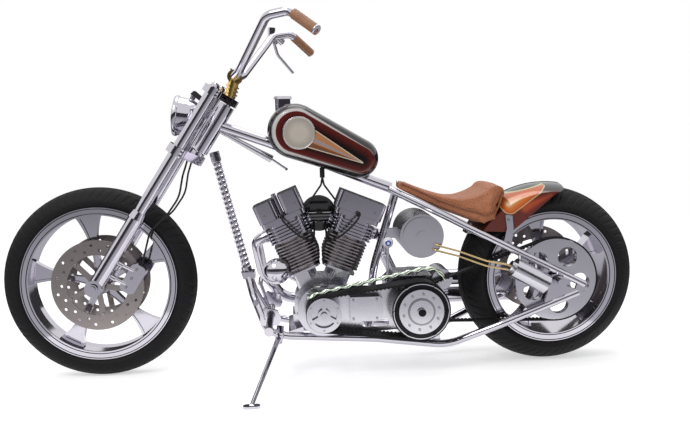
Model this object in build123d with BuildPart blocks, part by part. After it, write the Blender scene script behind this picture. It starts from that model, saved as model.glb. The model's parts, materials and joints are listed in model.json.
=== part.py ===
from build123d import *
from math import acos, asin, cos, degrees, radians, sin, tan
import os

os.makedirs("parts", exist_ok=True)

# A long, low chopper motorcycle with a rigid rear end and an open belt drive.
# It is drawn upright in millimetres: X runs back, Y to the rider's right, Z up,
# with the ground at Z 0 and the front axle above the origin. At the end the whole
# machine is leaned onto its side stand, on the left.

# Driving dimensions
WHEELBASE = 1661.0
RAKE = 33.0
LEAN = 4.0
FRONT_R, FRONT_HALF, FRONT_CROWN = 350.0, 60.0, 60.0
REAR_R, REAR_HALF, REAR_CROWN = 329.0, 111.0, 125.0
FRONT_RIM_R, REAR_RIM_R = 281.0, 243.0
SPOKES = 5
DISC_R, DISC_INNER_R, DISC_T = 165.0, 110.0, 5.0
FRONT_DISC_Y = 66.0
FORK_Y, FORK_TUBE_R, SLIDER_R, FORK_LENGTH = 110.0, 21.0, 27.0, 832.0
STEER_OFFSET = 60.0
NECK_R, NECK_BORE_R, STEM_R = 30.0, 16.0, 13.0
TUBE_R, RAIL_R, STAY_R = 19.0, 14.0, 13.0
RAIL_Y, REAR_RAIL_Y = 120.0, 168.0
CRANK = (811.0, 246.0)
CYLINDER_LEAN = 22.5
DECK_H, CYLINDER_H, HEAD_H, COVER_H = 150.0, 122.0, 88.0, 78.0
CLUTCH = (1153.0, 248.0)
FRONT_PULLEY_R, CLUTCH_R = 58.0, 100.0
PRIMARY_Y, PRIMARY_W, PRIMARY_T = -156.0, 70.0, 6.0
FINAL_Y, FINAL_W, FINAL_T = -118.0, 28.0, 5.0
SPROCKET_R, REAR_PULLEY_R = 55.0, 150.0
STAND_PIVOT = (650.0, -154.0, 157.0)
STAND_FOOT_X, STAND_FOOT_Y = 568.0, -534.0
AXLE_R, WHEEL_BORE_R = 12.0, 12.6

FRONT_AXLE = Vector(0, 0, FRONT_R)
REAR_AXLE = Vector(WHEELBASE, 0, REAR_R)
CROSS = Vector(0, 1, 0)
fork_up = Vector(sin(radians(RAKE)), 0, cos(radians(RAKE)))
fork_back = Vector(cos(radians(RAKE)), 0, -sin(radians(RAKE)))
# In the fork's plane X runs back from the legs, Y to the right and Z up along them.
FORK = Plane(origin=FRONT_AXLE, x_dir=fork_back, z_dir=fork_up)

pieces = {}


def fork_point(back, across, along):
    """A place given in the fork's own directions."""
    return FRONT_AXLE + fork_back * back + CROSS * across + fork_up * along


def side_plane(y):
    """A plane seen from the left side: its X is the machine's X, its Y is up."""
    return Plane(origin=(0, y, 0), x_dir=(1, 0, 0), z_dir=(0, -1, 0))


def bar(start, end, radius, end_radius=None):
    """Add a straight round bar, tapered where the end has a radius of its own."""
    start, end = Vector(start), Vector(end)
    foot = Plane(origin=start, z_dir=end - start)
    with BuildSketch(foot) as near:
        Circle(radius)
    with BuildSketch(foot.offset((end - start).length)) as far:
        Circle(end_radius or radius)
    if end_radius is None:
        extrude(near.sketch, amount=(end - start).length)
    else:
        loft([near.sketch.face(), far.sketch.face()])


def pipe(points, bends, radius):
    """Add a bent round tube, straight runs joined by tangent arcs."""
    with BuildLine() as route:
        FilletPolyline(*points, radius=bends)
    with BuildSketch(Plane(origin=route.line @ 0, z_dir=route.line % 0)) as section:
        Circle(radius)
    sweep(section.sketch, path=route.line)


def drum(centre, radius, y_from, y_to, bore=0.0):
    """Add a round drum or disc whose axis runs across the machine."""
    with BuildSketch(side_plane(y_from)) as face:
        with Locations(centre):
            Circle(radius)
            if bore:
                Circle(bore, mode=Mode.SUBTRACT)
    extrude(face.sketch, amount=y_from - y_to)


def tangent_loop(first, first_r, last, last_r):
    """Draw two circles' outer tangent outline, as a belt or a teardrop has."""
    a, b = Vector(*first), Vector(*last)
    run = b - a
    along = run.normalized()
    swing = degrees(acos((first_r - last_r) / run.length))
    up = along.rotate(Axis.Z, swing)
    down = along.rotate(Axis.Z, -swing)
    a_up, a_down = a + up * first_r, a + down * first_r
    b_up, b_down = b + up * last_r, b + down * last_r
    with BuildLine() as outline:
        Line(a_up, b_up)
        ThreePointArc(b_up, b + along * last_r, b_down)
        Line(b_down, a_down)
        ThreePointArc(a_down, a - along * first_r, a_up)
    make_face(outline.edges())


def cap_arc(edge, tip):
    """Draw the arc of a round cap from its edge to its tip on the sketch's X axis."""
    height = tip[0] - edge[0]
    ball = (edge[1] ** 2 + height**2) / (2 * height)
    centre = tip[0] - ball
    swing = acos((edge[0] - centre) / ball) / 2
    middle = (centre + ball * cos(swing), abs(ball) * abs(sin(swing)))
    return edge, middle, tip


def slab(corners, y_from, y_to):
    """Add a flat plate cut to an outline seen from the side."""
    with BuildSketch(side_plane(y_from)) as face:
        with BuildLine():
            Polyline(*corners, close=True)
        make_face()
    extrude(face.sketch, amount=y_from - y_to)


def twisted_bar(start, end, width, turns, steps):
    """Add a square bar twisted about its own line."""
    start, end = Vector(start), Vector(end)
    length = (end - start).length
    foot = Plane(origin=start, x_dir=(0, 1, 0), z_dir=end - start)
    sections = []
    for step in range(steps + 1):
        with BuildSketch(foot.offset(length * step / steps)) as section:
            Rectangle(width, width, rotation=360.0 * turns * step / steps)
        sections.append(section.sketch.face())
    loft(sections, ruled=True)


# Wheels
def wheel_plane(axle):
    """A plane through the axle whose X runs across and whose Y is the radius."""
    return Plane(origin=axle, x_dir=(0, 1, 0), z_dir=(1, 0, 0))


def tyre(axle, outer, half, crown, rim_r, bead_half, chords):
    """Add a tyre: beads inside the rim's lips, bulged sides and a round crown cut in chords."""
    span = asin(half / crown)
    bead_low, bead_high = rim_r - 15, rim_r + 1
    profile = [(-bead_half, bead_low), (-bead_half, bead_high)]
    for step in range(-chords, chords + 1):
        turn = span * step / chords
        profile.append((crown * sin(turn), outer - crown + crown * cos(turn)))
    profile += [(bead_half, bead_high), (bead_half, bead_low)]
    with BuildSketch(wheel_plane(axle)) as section:
        with BuildLine():
            Polyline(*profile, close=True)
        make_face()
    revolve(section.sketch, axis=Axis(axle, CROSS))


def rim(axle, rim_r, half, spoke_half, hub_r, hub_half, first_angle, bore):
    """Add a rim, its hub and flared billet spokes with a sunk panel on each face."""
    floor = rim_r - 15
    lip, panel_edge, panel_depth = 5.0, 7.0, 5.0
    with BuildSketch(wheel_plane(axle)) as section:
        with BuildLine():
            Polyline(
                (-half - lip, rim_r), (-half - lip, floor - 14), (-half + 20, floor - 8),
                (half - 20, floor - 8), (half + lip, floor - 14), (half + lip, rim_r),
                (half, rim_r), (half, floor), (-half, floor), (-half, rim_r), close=True,
            )
        make_face()
    revolve(section.sketch, axis=Axis(axle, CROSS))
    side = Plane(origin=axle, x_dir=(1, 0, 0), z_dir=(0, -1, 0))
    reach = floor - 4
    for step in range(SPOKES):
        turn = first_angle + step * 360.0 / SPOKES
        spoke_plane = side.rotated((0, -turn, 0))
        with BuildSketch(spoke_plane) as blade:
            with BuildLine():
                Line((0, -0.30 * hub_r), (0.9 * hub_r, -0.42 * hub_r))
                ThreePointArc((0.9 * hub_r, -0.42 * hub_r), (0.62 * reach, -0.062 * reach),
                              (reach * 0.985, -0.19 * reach))
                Line((reach * 0.985, -0.19 * reach), (reach * 0.985, 0.19 * reach))
                ThreePointArc((reach * 0.985, 0.19 * reach), (0.62 * reach, 0.062 * reach),
                              (0.9 * hub_r, 0.42 * hub_r))
                Line((0.9 * hub_r, 0.42 * hub_r), (0, 0.30 * hub_r))
                Line((0, 0.30 * hub_r), (0, -0.30 * hub_r))
            make_face()
        extrude(blade.sketch, amount=spoke_half, both=True)
        for face_side in (-1, 1):
            with BuildSketch(spoke_plane.offset(face_side * spoke_half)) as panel:
                with BuildLine():
                    Line((1.35 * hub_r, -0.30 * hub_r), (1.35 * hub_r, 0.30 * hub_r))
                    ThreePointArc((1.35 * hub_r, 0.30 * hub_r), (0.62 * reach, 0.062 * reach - panel_edge),
                                  (0.93 * reach, 0.145 * reach - panel_edge))
                    Line((0.93 * reach, 0.145 * reach - panel_edge), (0.93 * reach, panel_edge - 0.145 * reach))
                    ThreePointArc((0.93 * reach, panel_edge - 0.145 * reach), (0.62 * reach, panel_edge - 0.062 * reach),
                                  (1.35 * hub_r, -0.30 * hub_r))
                make_face()
            extrude(panel.sketch, amount=-face_side * panel_depth, mode=Mode.SUBTRACT)
    centre = (axle.X, axle.Z)
    drum(centre, hub_r, hub_half, -hub_half)
    with BuildSketch(side_plane(hub_half + 20)) as hole:
        with Locations(centre):
            Circle(bore)
    extrude(hole.sketch, amount=2 * hub_half + 40, mode=Mode.SUBTRACT)


def drilled_disc(axle, y_middle, hub_face, hub_reach, first_angle, holes):
    """Add a drilled brake disc, its five-armed star and the carrier from the hub."""
    centre = (axle.X, axle.Z)
    y_out = y_middle + DISC_T / 2
    y_near = y_middle - DISC_T / 2 if y_middle > 0 else y_out
    drum(centre, hub_reach + 12, max(y_near, hub_face), min(y_near, hub_face), bore=hub_reach)
    drum(centre, DISC_R, y_out, y_out - DISC_T, bore=DISC_INNER_R)
    with BuildSketch(side_plane(y_out)) as star:
        with Locations(centre):
            Circle(hub_reach + 12)
            with PolarLocations(0, SPOKES, start_angle=first_angle):
                with Locations((DISC_INNER_R / 2 + 10, 0)):
                    Rectangle(DISC_INNER_R + 8, 20)
            Circle(hub_reach, mode=Mode.SUBTRACT)
    extrude(star.sketch, amount=DISC_T)
    with BuildSketch(side_plane(y_out)) as drilling:
        with Locations(centre):
            with PolarLocations((DISC_R + DISC_INNER_R) / 2 + 8, holes):
                Circle(5.5)
            with PolarLocations((DISC_R + DISC_INNER_R) / 2 - 10, holes, start_angle=180.0 / holes):
                Circle(5.5)
    extrude(drilling.sketch, amount=DISC_T, mode=Mode.SUBTRACT)


with BuildPart() as pieces["front_tyre"]:
    tyre(FRONT_AXLE, FRONT_R, FRONT_HALF, FRONT_CROWN, FRONT_RIM_R, 46, chords=2)

with BuildPart() as pieces["front_rim"]:
    rim(FRONT_AXLE, FRONT_RIM_R, 46, 15, 40, 40, 98, WHEEL_BORE_R)

with BuildPart() as pieces["front_discs"]:
    for side in (-1, 1):
        drilled_disc(FRONT_AXLE, side * FRONT_DISC_Y, side * 40, 24, 62, 15)

with BuildPart() as pieces["rear_tyre"]:
    tyre(REAR_AXLE, REAR_R, REAR_HALF, REAR_CROWN, REAR_RIM_R, 98, chords=3)

with BuildPart() as pieces["rear_rim"]:
    rim(REAR_AXLE, REAR_RIM_R, 98, 32, 48, 88, 101, WHEEL_BORE_R)

with BuildPart() as pieces["rear_disc"]:
    drilled_disc(REAR_AXLE, 118, 88, 30, 62, 15)

rear_centre = (REAR_AXLE.X, REAR_AXLE.Z)
with BuildPart() as pieces["rear_pulley"]:
    drum(rear_centre, REAR_PULLEY_R - 0.8, FINAL_Y, FINAL_Y - FINAL_W)
    drum(rear_centre, 50, -88, FINAL_Y)
    with BuildSketch(side_plane(FINAL_Y)) as windows:
        with Locations(rear_centre):
            with PolarLocations(92, SPOKES, start_angle=62):
                Circle(36)
            Circle(24)
    extrude(windows.sketch, amount=FINAL_W, mode=Mode.SUBTRACT)
    with BuildSketch(side_plane(-80)) as centre_hole:
        with Locations(rear_centre):
            Circle(20)
    extrude(centre_hole.sketch, amount=80, mode=Mode.SUBTRACT)

# The rear axle's ends stand out past their nuts, where a paddock stand takes hold
AXLE_REACH = 42.0
with BuildPart() as pieces["rear_axle"]:
    drum(rear_centre, AXLE_R, REAR_RAIL_Y + AXLE_REACH, -REAR_RAIL_Y - AXLE_REACH)
    for side in (-1, 1):
        near, far = side * (REAR_RAIL_Y + 6), side * (REAR_RAIL_Y + 20)
        drum(rear_centre, 19, max(near, far), min(near, far))
    drum(rear_centre, 17, REAR_RAIL_Y - 6, 122)
    drum(rear_centre, 17, FINAL_Y - FINAL_W - 2, 6 - REAR_RAIL_Y)

# Front end, drawn in the fork's own directions
with BuildPart() as pieces["front_axle"]:
    front_centre = (0.0, FRONT_AXLE.Z)
    drum(front_centre, AXLE_R, FORK_Y + 42, -FORK_Y - 42)
    for side in (-1, 1):
        near, far = side * 70, side * (FORK_Y - SLIDER_R - 1)
        drum(front_centre, 17, max(near, far), min(near, far))
        near, far = side * (FORK_Y + SLIDER_R + 1), side * (FORK_Y + SLIDER_R + 10)
        drum(front_centre, 18, max(near, far), min(near, far))

for name, side in (("left_fork_leg", -1), ("right_fork_leg", 1)):
    with BuildPart() as pieces[name]:
        y = side * FORK_Y
        bar(fork_point(0, y, 300), fork_point(0, y, FORK_LENGTH), FORK_TUBE_R)
        bar(fork_point(0, y, 8), fork_point(0, y, 290), SLIDER_R)
        bar(fork_point(0, y, 290), fork_point(0, y, 318), 30, 24)
        bar(fork_point(0, y, -26), fork_point(0, y, 8), 22, SLIDER_R)
        bar(fork_point(0, y, FORK_LENGTH), fork_point(0, y, FORK_LENGTH + 10), 18, 14)
        drum(front_centre, 30, y + SLIDER_R + 1, y - SLIDER_R - 1)
        with BuildSketch(side_plane(y + 30)) as axle_hole:
            with Locations(front_centre):
                Circle(AXLE_R)
        extrude(axle_hole.sketch, amount=60, mode=Mode.SUBTRACT)
        # Caliper lug at the back of the slider
        bar(fork_point(20, y - side * 8, 118), fork_point(46, y - side * 8, 118), 9)
        bar(fork_point(20, y - side * 8, 62), fork_point(46, y - side * 8, 62), 9)


def yoke(low, high, stem_hole):
    """Add one fork yoke: two leg clamps and a waisted bridge behind them."""
    base = FORK.offset(low)
    with BuildSketch(base) as plate:
        with Locations((0, -FORK_Y), (0, FORK_Y)):
            Circle(34)
        with BuildLine():
            Polyline((-16, -FORK_Y), (-10, 0), (-16, FORK_Y), (30, FORK_Y),
                     (STEER_OFFSET + 28, 20), (STEER_OFFSET + 28, -20), (30, -FORK_Y), close=True)
        make_face()
        with Locations((STEER_OFFSET, 0)):
            Circle(32)
        with Locations((0, -FORK_Y), (0, FORK_Y)):
            Circle(FORK_TUBE_R, mode=Mode.SUBTRACT)
        if stem_hole:
            with Locations((STEER_OFFSET, 0)):
                Circle(stem_hole, mode=Mode.SUBTRACT)
    extrude(plate.sketch, amount=high - low)


with BuildPart() as pieces["lower_yoke"]:
    yoke(556, 588, 0)
    bar(fork_point(STEER_OFFSET, 0, 586), fork_point(STEER_OFFSET, 0, 838), STEM_R)
    bar(fork_point(STEER_OFFSET, 0, 588), fork_point(STEER_OFFSET, 0, 597), 24)

with BuildPart() as pieces["upper_yoke"]:
    yoke(802, 828, STEM_R)

# Headlight on a bracket between the yokes
lamp_face = Vector(296, 0, 953)
lamp_back = Vector(404, 0, 940)
lamp_axis = (lamp_back - lamp_face).normalized()
with BuildPart() as pieces["headlight"]:
    with BuildSketch(Plane(origin=lamp_face, x_dir=lamp_axis, z_dir=(0, 1, 0))) as half:
        with BuildLine():
            Line((-4, 62), (-4, 70))
            ThreePointArc((-4, 70), (4, 74), (14, 70))
            Line((14, 70), (40, 66))
            ThreePointArc(*cap_arc((40, 66), (104, 0)))
            Line((104, 0), (98, 0))
            ThreePointArc(*reversed(cap_arc((38, 60), (98, 0))))
            Line((38, 60), (-4, 62))
        make_face()
    revolve(half.sketch, axis=Axis(lamp_face, lamp_axis))
    bar(lamp_face + Vector(60, 0, 50), lamp_face + Vector(76, 0, 84), 10)
    slab([(356, 1030), (372, 1040), (405, 1010), (420, 1000), (408, 985), (380, 1010)], 20, -20)
    slab([(340, 985), (356, 990), (382, 1030), (366, 1040)], 9, -9)

with BuildPart() as pieces["headlight_lens"]:
    with BuildSketch(Plane(origin=lamp_face, x_dir=lamp_axis, z_dir=(0, 1, 0))) as half:
        with BuildLine():
            Line((-14, 0), (-8, 0))
            ThreePointArc(*reversed(cap_arc((1, 61.4), (-8, 0))))
            Line((1, 61.4), (-4, 61.4))
            ThreePointArc(*cap_arc((-4, 61.4), (-14, 0)))
        make_face()
    revolve(half.sketch, axis=Axis(lamp_face, lamp_axis))

# Risers, handlebar, grips and the hand brake
BAR_R, GRIP_R = 15.0, 19.0
riser_foot = fork_point(STEER_OFFSET - 6, 0, 828)
clamp = Vector(517, 0, 1086)
# Handlebar route columns: back, across, up, for the left half from the middle out
bar_apex = Vector(667, 338, 1270)
grip_start = Vector(735, 350, 1262)
grip_end = Vector(801, 408, 1206)
grip_line = (grip_end - grip_start).normalized()
half_route = [
    Vector(clamp.X, 0, clamp.Z),
    Vector(clamp.X + 2, 62, clamp.Z),
    Vector(clamp.X + 24, 110, clamp.Z + 14),
    Vector(bar_apex.X - 18, 318, bar_apex.Z - 8),
    grip_start - grip_line * 22,
    grip_end + grip_line * 2,
]


def mirrored(point):
    """The same place on the machine's other side."""
    return Vector(point.X, -point.Y, point.Z)


with BuildPart() as pieces["handlebar"]:
    for side in (-1, 1):
        route = [p if side > 0 else mirrored(p) for p in half_route]
        pipe(route, [30, 40, 42, 40], BAR_R)

with BuildPart() as pieces["risers"]:
    for side in (-1, 1):
        foot = riser_foot + CROSS * (side * 40)
        top = clamp + CROSS * (side * 40)
        rise = (top - foot).normalized()
        bar(foot - rise * 3, top - rise * 12, 16)
        for step in range(3):
            mark = foot + rise * (8 + 14 * step)
            bar(mark, mark + rise * 6, 21)
        drum((clamp.X, clamp.Z), 24, side * 40 + 14, side * 40 - 14)
    add(pieces["handlebar"].part, mode=Mode.SUBTRACT)
    add(pieces["upper_yoke"].part, mode=Mode.SUBTRACT)

with BuildPart() as pieces["grips"]:
    for side in (-1, 1):
        start = grip_start if side > 0 else mirrored(grip_start)
        end = grip_end if side > 0 else mirrored(grip_end)
        line = (end - start).normalized()
        bar(start, end + line * 2, GRIP_R)
        bar(end + line * 2, end + line * 14, 20, 15)
    for side in (-1, 1):
        start = grip_start if side > 0 else mirrored(grip_start)
        end = grip_end if side > 0 else mirrored(grip_end)
        with BuildSketch(Plane(origin=start, z_dir=end - start).offset(-1)) as hole:
            Circle(BAR_R)
        extrude(hole.sketch, amount=(end - start).length + 3, mode=Mode.SUBTRACT)

with BuildPart() as pieces["brake_lever"]:
    post = half_route[3] + Vector(14, 6, 2)
    reach = grip_line
    bar(post - reach * 4, post + reach * 40, 14)
    bar(post + Vector(-18, 0, -2), post + Vector(-16, 0, 34), 15)
    lever_root = post + Vector(-8, 0, -26)
    pipe([lever_root, lever_root + reach * 60 + Vector(-26, 0, -12),
          lever_root + reach * 150 + Vector(-22, 0, -34)], [60], 6)
    bar(post, lever_root + reach * 8, 9)
    add(pieces["handlebar"].part, mode=Mode.SUBTRACT)
    add(pieces["grips"].part, mode=Mode.SUBTRACT)

with BuildPart() as pieces["front_calipers"]:
    for side in (-1, 1):
        outer = side * (FRONT_DISC_Y + 26)
        inner = side * (FRONT_DISC_Y - 15)
        body = Plane(origin=fork_point(0, max(outer, inner), 0), x_dir=fork_back, z_dir=(0, -1, 0))
        with BuildSketch(body) as block:
            with Locations((98, 90)):
                RectangleRounded(58, 112, 20)
        extrude(block.sketch, amount=abs(outer - inner))
        with BuildSketch(side_plane(side * FRONT_DISC_Y + 6)) as slot:
            with Locations(front_centre):
                Circle(DISC_R + 6)
        extrude(slot.sketch, amount=12, mode=Mode.SUBTRACT)
        ear_y = side * (FORK_Y - 8)
        for along in (62, 118):
            bar(fork_point(40, ear_y, along), fork_point(84, side * (FRONT_DISC_Y + 22), along), 7)
    for name in ("left_fork_leg", "right_fork_leg"):
        add(pieces[name].part, mode=Mode.SUBTRACT)

# Brake hoses from below the lower yoke down to the calipers
HOSE_R = 3.5
with BuildPart() as pieces["brake_lines"]:
    for side in (-1, 1):
        pipe([fork_point(46, side * 70, 556), fork_point(60, side * 74, 500),
              fork_point(88, side * 80, 430), fork_point(84, side * 84, 350),
              fork_point(62, side * 84, 270), fork_point(84, side * 84, 200),
              fork_point(100, side * 82, 146)], [80, 120, 120, 90, 90], HOSE_R)
    add(pieces["front_calipers"].part, mode=Mode.SUBTRACT)
    add(pieces["lower_yoke"].part, mode=Mode.SUBTRACT)

# Frame
with BuildPart() as pieces["backbone"]:
    bar(fork_point(STEER_OFFSET, 0, 602), fork_point(STEER_OFFSET, 0, 796), NECK_R)
    pipe([(458, 0, 910), (628, 0, 849), (1009, 0, 695), (1078, 0, 668)], [300, 120], TUBE_R)
    bore_line = fork_point(STEER_OFFSET, 0, 590), fork_point(STEER_OFFSET, 0, 810)
    with BuildSketch(Plane(origin=bore_line[0], z_dir=fork_up)) as hole:
        Circle(NECK_BORE_R)
    extrude(hole.sketch, amount=220, mode=Mode.SUBTRACT)

DOWN_TOP, DOWN_END = Vector(430, 0, 818), Vector(536, 0, 366)
with BuildPart() as pieces["downtube"]:
    down = (DOWN_END - DOWN_TOP).normalized()
    twisted_bar(DOWN_TOP + down * 34, DOWN_END - down * 20, 25, 5.5, 66)
    bar(DOWN_TOP, DOWN_TOP + down * 36, 18)
    bar(DOWN_END - down * 22, DOWN_END, 19)
    slab([(514, 372), (562, 372), (566, 350), (522, 346)], 34, -34)
    add(pieces["backbone"].part, mode=Mode.SUBTRACT)

plate_outline = [(1612, 250), (1640, 352), (1690, 356), (1768, 318), (1768, 298), (1730, 268)]
for name, side in (("left_lower_rail", -1), ("right_lower_rail", 1)):
    with BuildPart() as pieces[name]:
        pipe([(538, 17 * side, 360), (556, 46 * side, 290), (606, 112 * side, 168),
              (680, RAIL_Y * side, 149), (998, RAIL_Y * side, 128), (1264, 126 * side, 95),
              (1457, 166 * side, 176), (1736, REAR_RAIL_Y * side, 284)],
             [60, 60, 90, 400, 180, 160], RAIL_R)
        plate_y = side * REAR_RAIL_Y + 6
        slab(plate_outline, plate_y, plate_y - 12)
        with BuildSketch(side_plane(plate_y)) as openings:
            with Locations((1712, 312)):
                Rectangle(34, 20, rotation=-20)
            with Locations(rear_centre):
                Circle(AXLE_R)
        extrude(openings.sketch, amount=12, mode=Mode.SUBTRACT)
        add(pieces["downtube"].part, mode=Mode.SUBTRACT)

for name, side in (("left_upper_stay", -1), ("right_upper_stay", 1)):
    with BuildPart() as pieces[name]:
        pipe([(1072, 15 * side, 664), (1253, 92 * side, 574), (1370, 141 * side, 513),
              (1560, 166 * side, 415), (1760, REAR_RAIL_Y * side, 312)],
             [500, 300, 400], STAY_R)
        add(pieces["backbone"].part, mode=Mode.SUBTRACT)
        add(pieces["left_lower_rail"].part, mode=Mode.SUBTRACT)
        add(pieces["right_lower_rail"].part, mode=Mode.SUBTRACT)
        if side > 0:
            add(pieces["left_upper_stay"].part, mode=Mode.SUBTRACT)

with BuildPart() as pieces["seat_post"]:
    pipe([(1096, 0, 650), (1006, 0, 360), (990, 0, 128)], [400], 15)
    bar((990, -RAIL_Y, 128), (990, RAIL_Y, 128), 13)
    for name in ("backbone", "left_lower_rail", "right_lower_rail", "left_upper_stay", "right_upper_stay"):
        add(pieces[name].part, mode=Mode.SUBTRACT)

with BuildPart() as pieces["damper_strut"]:
    front, middle, end = Vector(488, 0, 874), Vector(641, 0, 785), Vector(693, 0, 748)
    bar(front, middle, 8, 14)
    bar(middle, end, 4)
    bar(end + Vector(0, -9, 0), end + Vector(0, 9, 0), 5)
    bar(front - Vector(28, 0, -16), front, 8)
    add(pieces["backbone"].part, mode=Mode.SUBTRACT)

# Engine
ENGINE_Y_LEFT, ENGINE_Y_RIGHT = -68.0, 68.0


def cylinder_plane(side, height):
    """A plane square to one cylinder: -1 is the front one, 1 the rear one."""
    lean = radians(CYLINDER_LEAN) * side
    line = Vector(sin(lean), 0, cos(lean))
    return Plane(origin=Vector(CRANK[0], 0, CRANK[1]) + line * height,
                 x_dir=(cos(lean), 0, -sin(lean)), z_dir=line)


def cylinder_block(side, low, high, outer, inner, y_low, y_high, corner):
    """Add a rounded block square to a cylinder, cut short of the other cylinder's side."""
    inner = min(inner, low * tan(radians(CYLINDER_LEAN)) - 4)
    middle = (inner - outer) / 2 * -side
    with BuildSketch(cylinder_plane(side, low)) as block:
        with Locations((middle, (y_low + y_high) / 2)):
            RectangleRounded(outer + inner, y_high - y_low, corner)
    extrude(block.sketch, amount=high - low)


with BuildPart() as pieces["crankcase"]:
    drum(CRANK, 104, ENGINE_Y_RIGHT, ENGINE_Y_LEFT)
    for side in (-1, 1):
        cylinder_block(side, 40, DECK_H - 8, 56, 56, ENGINE_Y_LEFT, ENGINE_Y_RIGHT, 12)
        cylinder_block(side, DECK_H - 8, DECK_H, 70, 70, ENGINE_Y_LEFT - 6, ENGINE_Y_RIGHT + 2, 20)
        cylinder_block(side, 70, 122, 44, 30, ENGINE_Y_RIGHT, ENGINE_Y_RIGHT + 34, 8)
    drum(CRANK, 90, ENGINE_Y_LEFT, -147)
    drum(CRANK, 76, ENGINE_Y_RIGHT + 34, ENGINE_Y_RIGHT)
    drum((CRANK[0] - 44, CRANK[1] + 22), 44, ENGINE_Y_RIGHT + 28, ENGINE_Y_RIGHT)
    slab([(700, 214), (712, 150), (930, 140), (926, 200)], 70, -58)
    slab([(684, 165), (684, 150), (738, 150), (738, 180)], 118, -118)
    slab([(880, 165), (880, 130), (934, 130), (934, 165)], 118, -118)
    with BuildSketch(side_plane(-100)) as shaft_hole:
        with Locations(CRANK):
            Circle(20)
    extrude(shaft_hole.sketch, amount=60, mode=Mode.SUBTRACT)
    for name in ("left_lower_rail", "right_lower_rail", "seat_post"):
        add(pieces[name].part, mode=Mode.SUBTRACT)

FIN_PITCH, FIN_T = 12.0, 4.5
head_base = DECK_H + CYLINDER_H
for name, side in (("front_cylinder", -1), ("rear_cylinder", 1)):
    with BuildPart() as pieces[name]:
        with BuildSketch(cylinder_plane(side, DECK_H)) as barrel:
            Circle(56)
        extrude(barrel.sketch, amount=CYLINDER_H)
        fin_count = int((CYLINDER_H - 12) / FIN_PITCH)
        for step in range(fin_count):
            low = DECK_H + 12 + step * FIN_PITCH
            cylinder_block(side, low, low + FIN_T, 76, 76, -72, 72, 34)

for name, side in (("front_head", -1), ("rear_head", 1)):
    with BuildPart() as pieces[name]:
        cylinder_block(side, head_base, head_base + HEAD_H, 62, 62, -58, 62, 24)
        for step in range(5):
            low = head_base + 4 + step * FIN_PITCH
            cylinder_block(side, low, low + FIN_T, 80, 80, -74, 74, 26)
        cylinder_block(side, head_base + HEAD_H - 18, head_base + HEAD_H, 84, 84, -68, 100, 16)
        top = head_base + HEAD_H
        if side < 0:
            cylinder_block(side, top, top + COVER_H - 6, 88, -12, -62, 66, 14)
            cylinder_block(side, top, top + COVER_H, -12, 88, -62, 66, 14)
            bar(cylinder_plane(side, top).origin + Vector(0, -30, 0),
                cylinder_plane(side, top + COVER_H + 10).origin + Vector(0, -30, 0), 9)
        else:
            cylinder_block(side, top, top + COVER_H - 14, 90, 90, -64, 66, 14)
        port = cylinder_plane(side, head_base + 36)
        bar(port.origin + port.x_dir * side * 56 + CROSS * 24,
            port.origin + port.x_dir * side * 96 + CROSS * 24, 24)
        bar(port.origin - port.x_dir * side * 56 + CROSS * 20,
            port.origin - port.x_dir * side * 88 + CROSS * 20, 22)

with BuildPart() as pieces["pushrod_tubes"]:
    for side in (-1, 1):
        for across in (-26, 12):
            foot = cylinder_plane(side, 122)
            head = cylinder_plane(side, head_base + HEAD_H - 18)
            offset = across * -side
            bar(foot.origin + foot.x_dir * offset + CROSS * 91,
                head.origin + head.x_dir * offset + CROSS * 91, 9)

with BuildPart() as pieces["carburettor"]:
    port_z = 564
    bar((770, 20, port_z), (852, 20, port_z), 19)
    bar((811, 10, port_z), (811, 66, port_z), 21)
    slab([(776, 530), (776, 610), (846, 610), (846, 530)], 112, 62)
    drum((811, 566), 68, 160, 112)
    bar((811, 160, 566), (811, 170, 566), 58, 40)
    for name in ("front_head", "rear_head"):
        add(pieces[name].part, mode=Mode.SUBTRACT)

PIPE_R, MUFFLER_R, PIPE_Y = 21.0, 32.0, 216.0
with BuildPart() as pieces["exhaust_pipes"]:
    front_port = cylinder_plane(-1, head_base + 36)
    start = front_port.origin - front_port.x_dir * 96 + CROSS * 24
    pipe([start, start - front_port.x_dir * 36, (586, 130, 345), (660, 204, 222),
          (780, PIPE_Y, 205), (1300, PIPE_Y, 205)], [34, 90, 90, 90], PIPE_R)
    bar((1300, PIPE_Y, 205), (1330, PIPE_Y, 205), PIPE_R, MUFFLER_R)
    bar((1330, PIPE_Y, 205), (1640, PIPE_Y, 205), MUFFLER_R)
    rear_port = cylinder_plane(1, head_base + 36)
    start = rear_port.origin + rear_port.x_dir * 96 + CROSS * 24
    pipe([start, start + rear_port.x_dir * 36 + CROSS * 26, (1062, 160, 400), (1110, 212, 300),
          (1200, PIPE_Y, 278), (1300, PIPE_Y, 278)], [34, 60, 60, 90], PIPE_R)
    bar((1300, PIPE_Y, 278), (1330, PIPE_Y, 278), PIPE_R, MUFFLER_R)
    bar((1330, PIPE_Y, 278), (1600, PIPE_Y, 278), MUFFLER_R)
    # Each muffler is an open tube behind its cone
    for tail_x, height in ((1640, 205), (1600, 278)):
        with BuildSketch(Plane(origin=(tail_x, PIPE_Y, height), z_dir=(-1, 0, 0))) as bore:
            Circle(MUFFLER_R - 3)
        extrude(bore.sketch, amount=tail_x - 1340, mode=Mode.SUBTRACT)
    for name in ("front_head", "rear_head"):
        add(pieces[name].part, mode=Mode.SUBTRACT)

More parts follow.
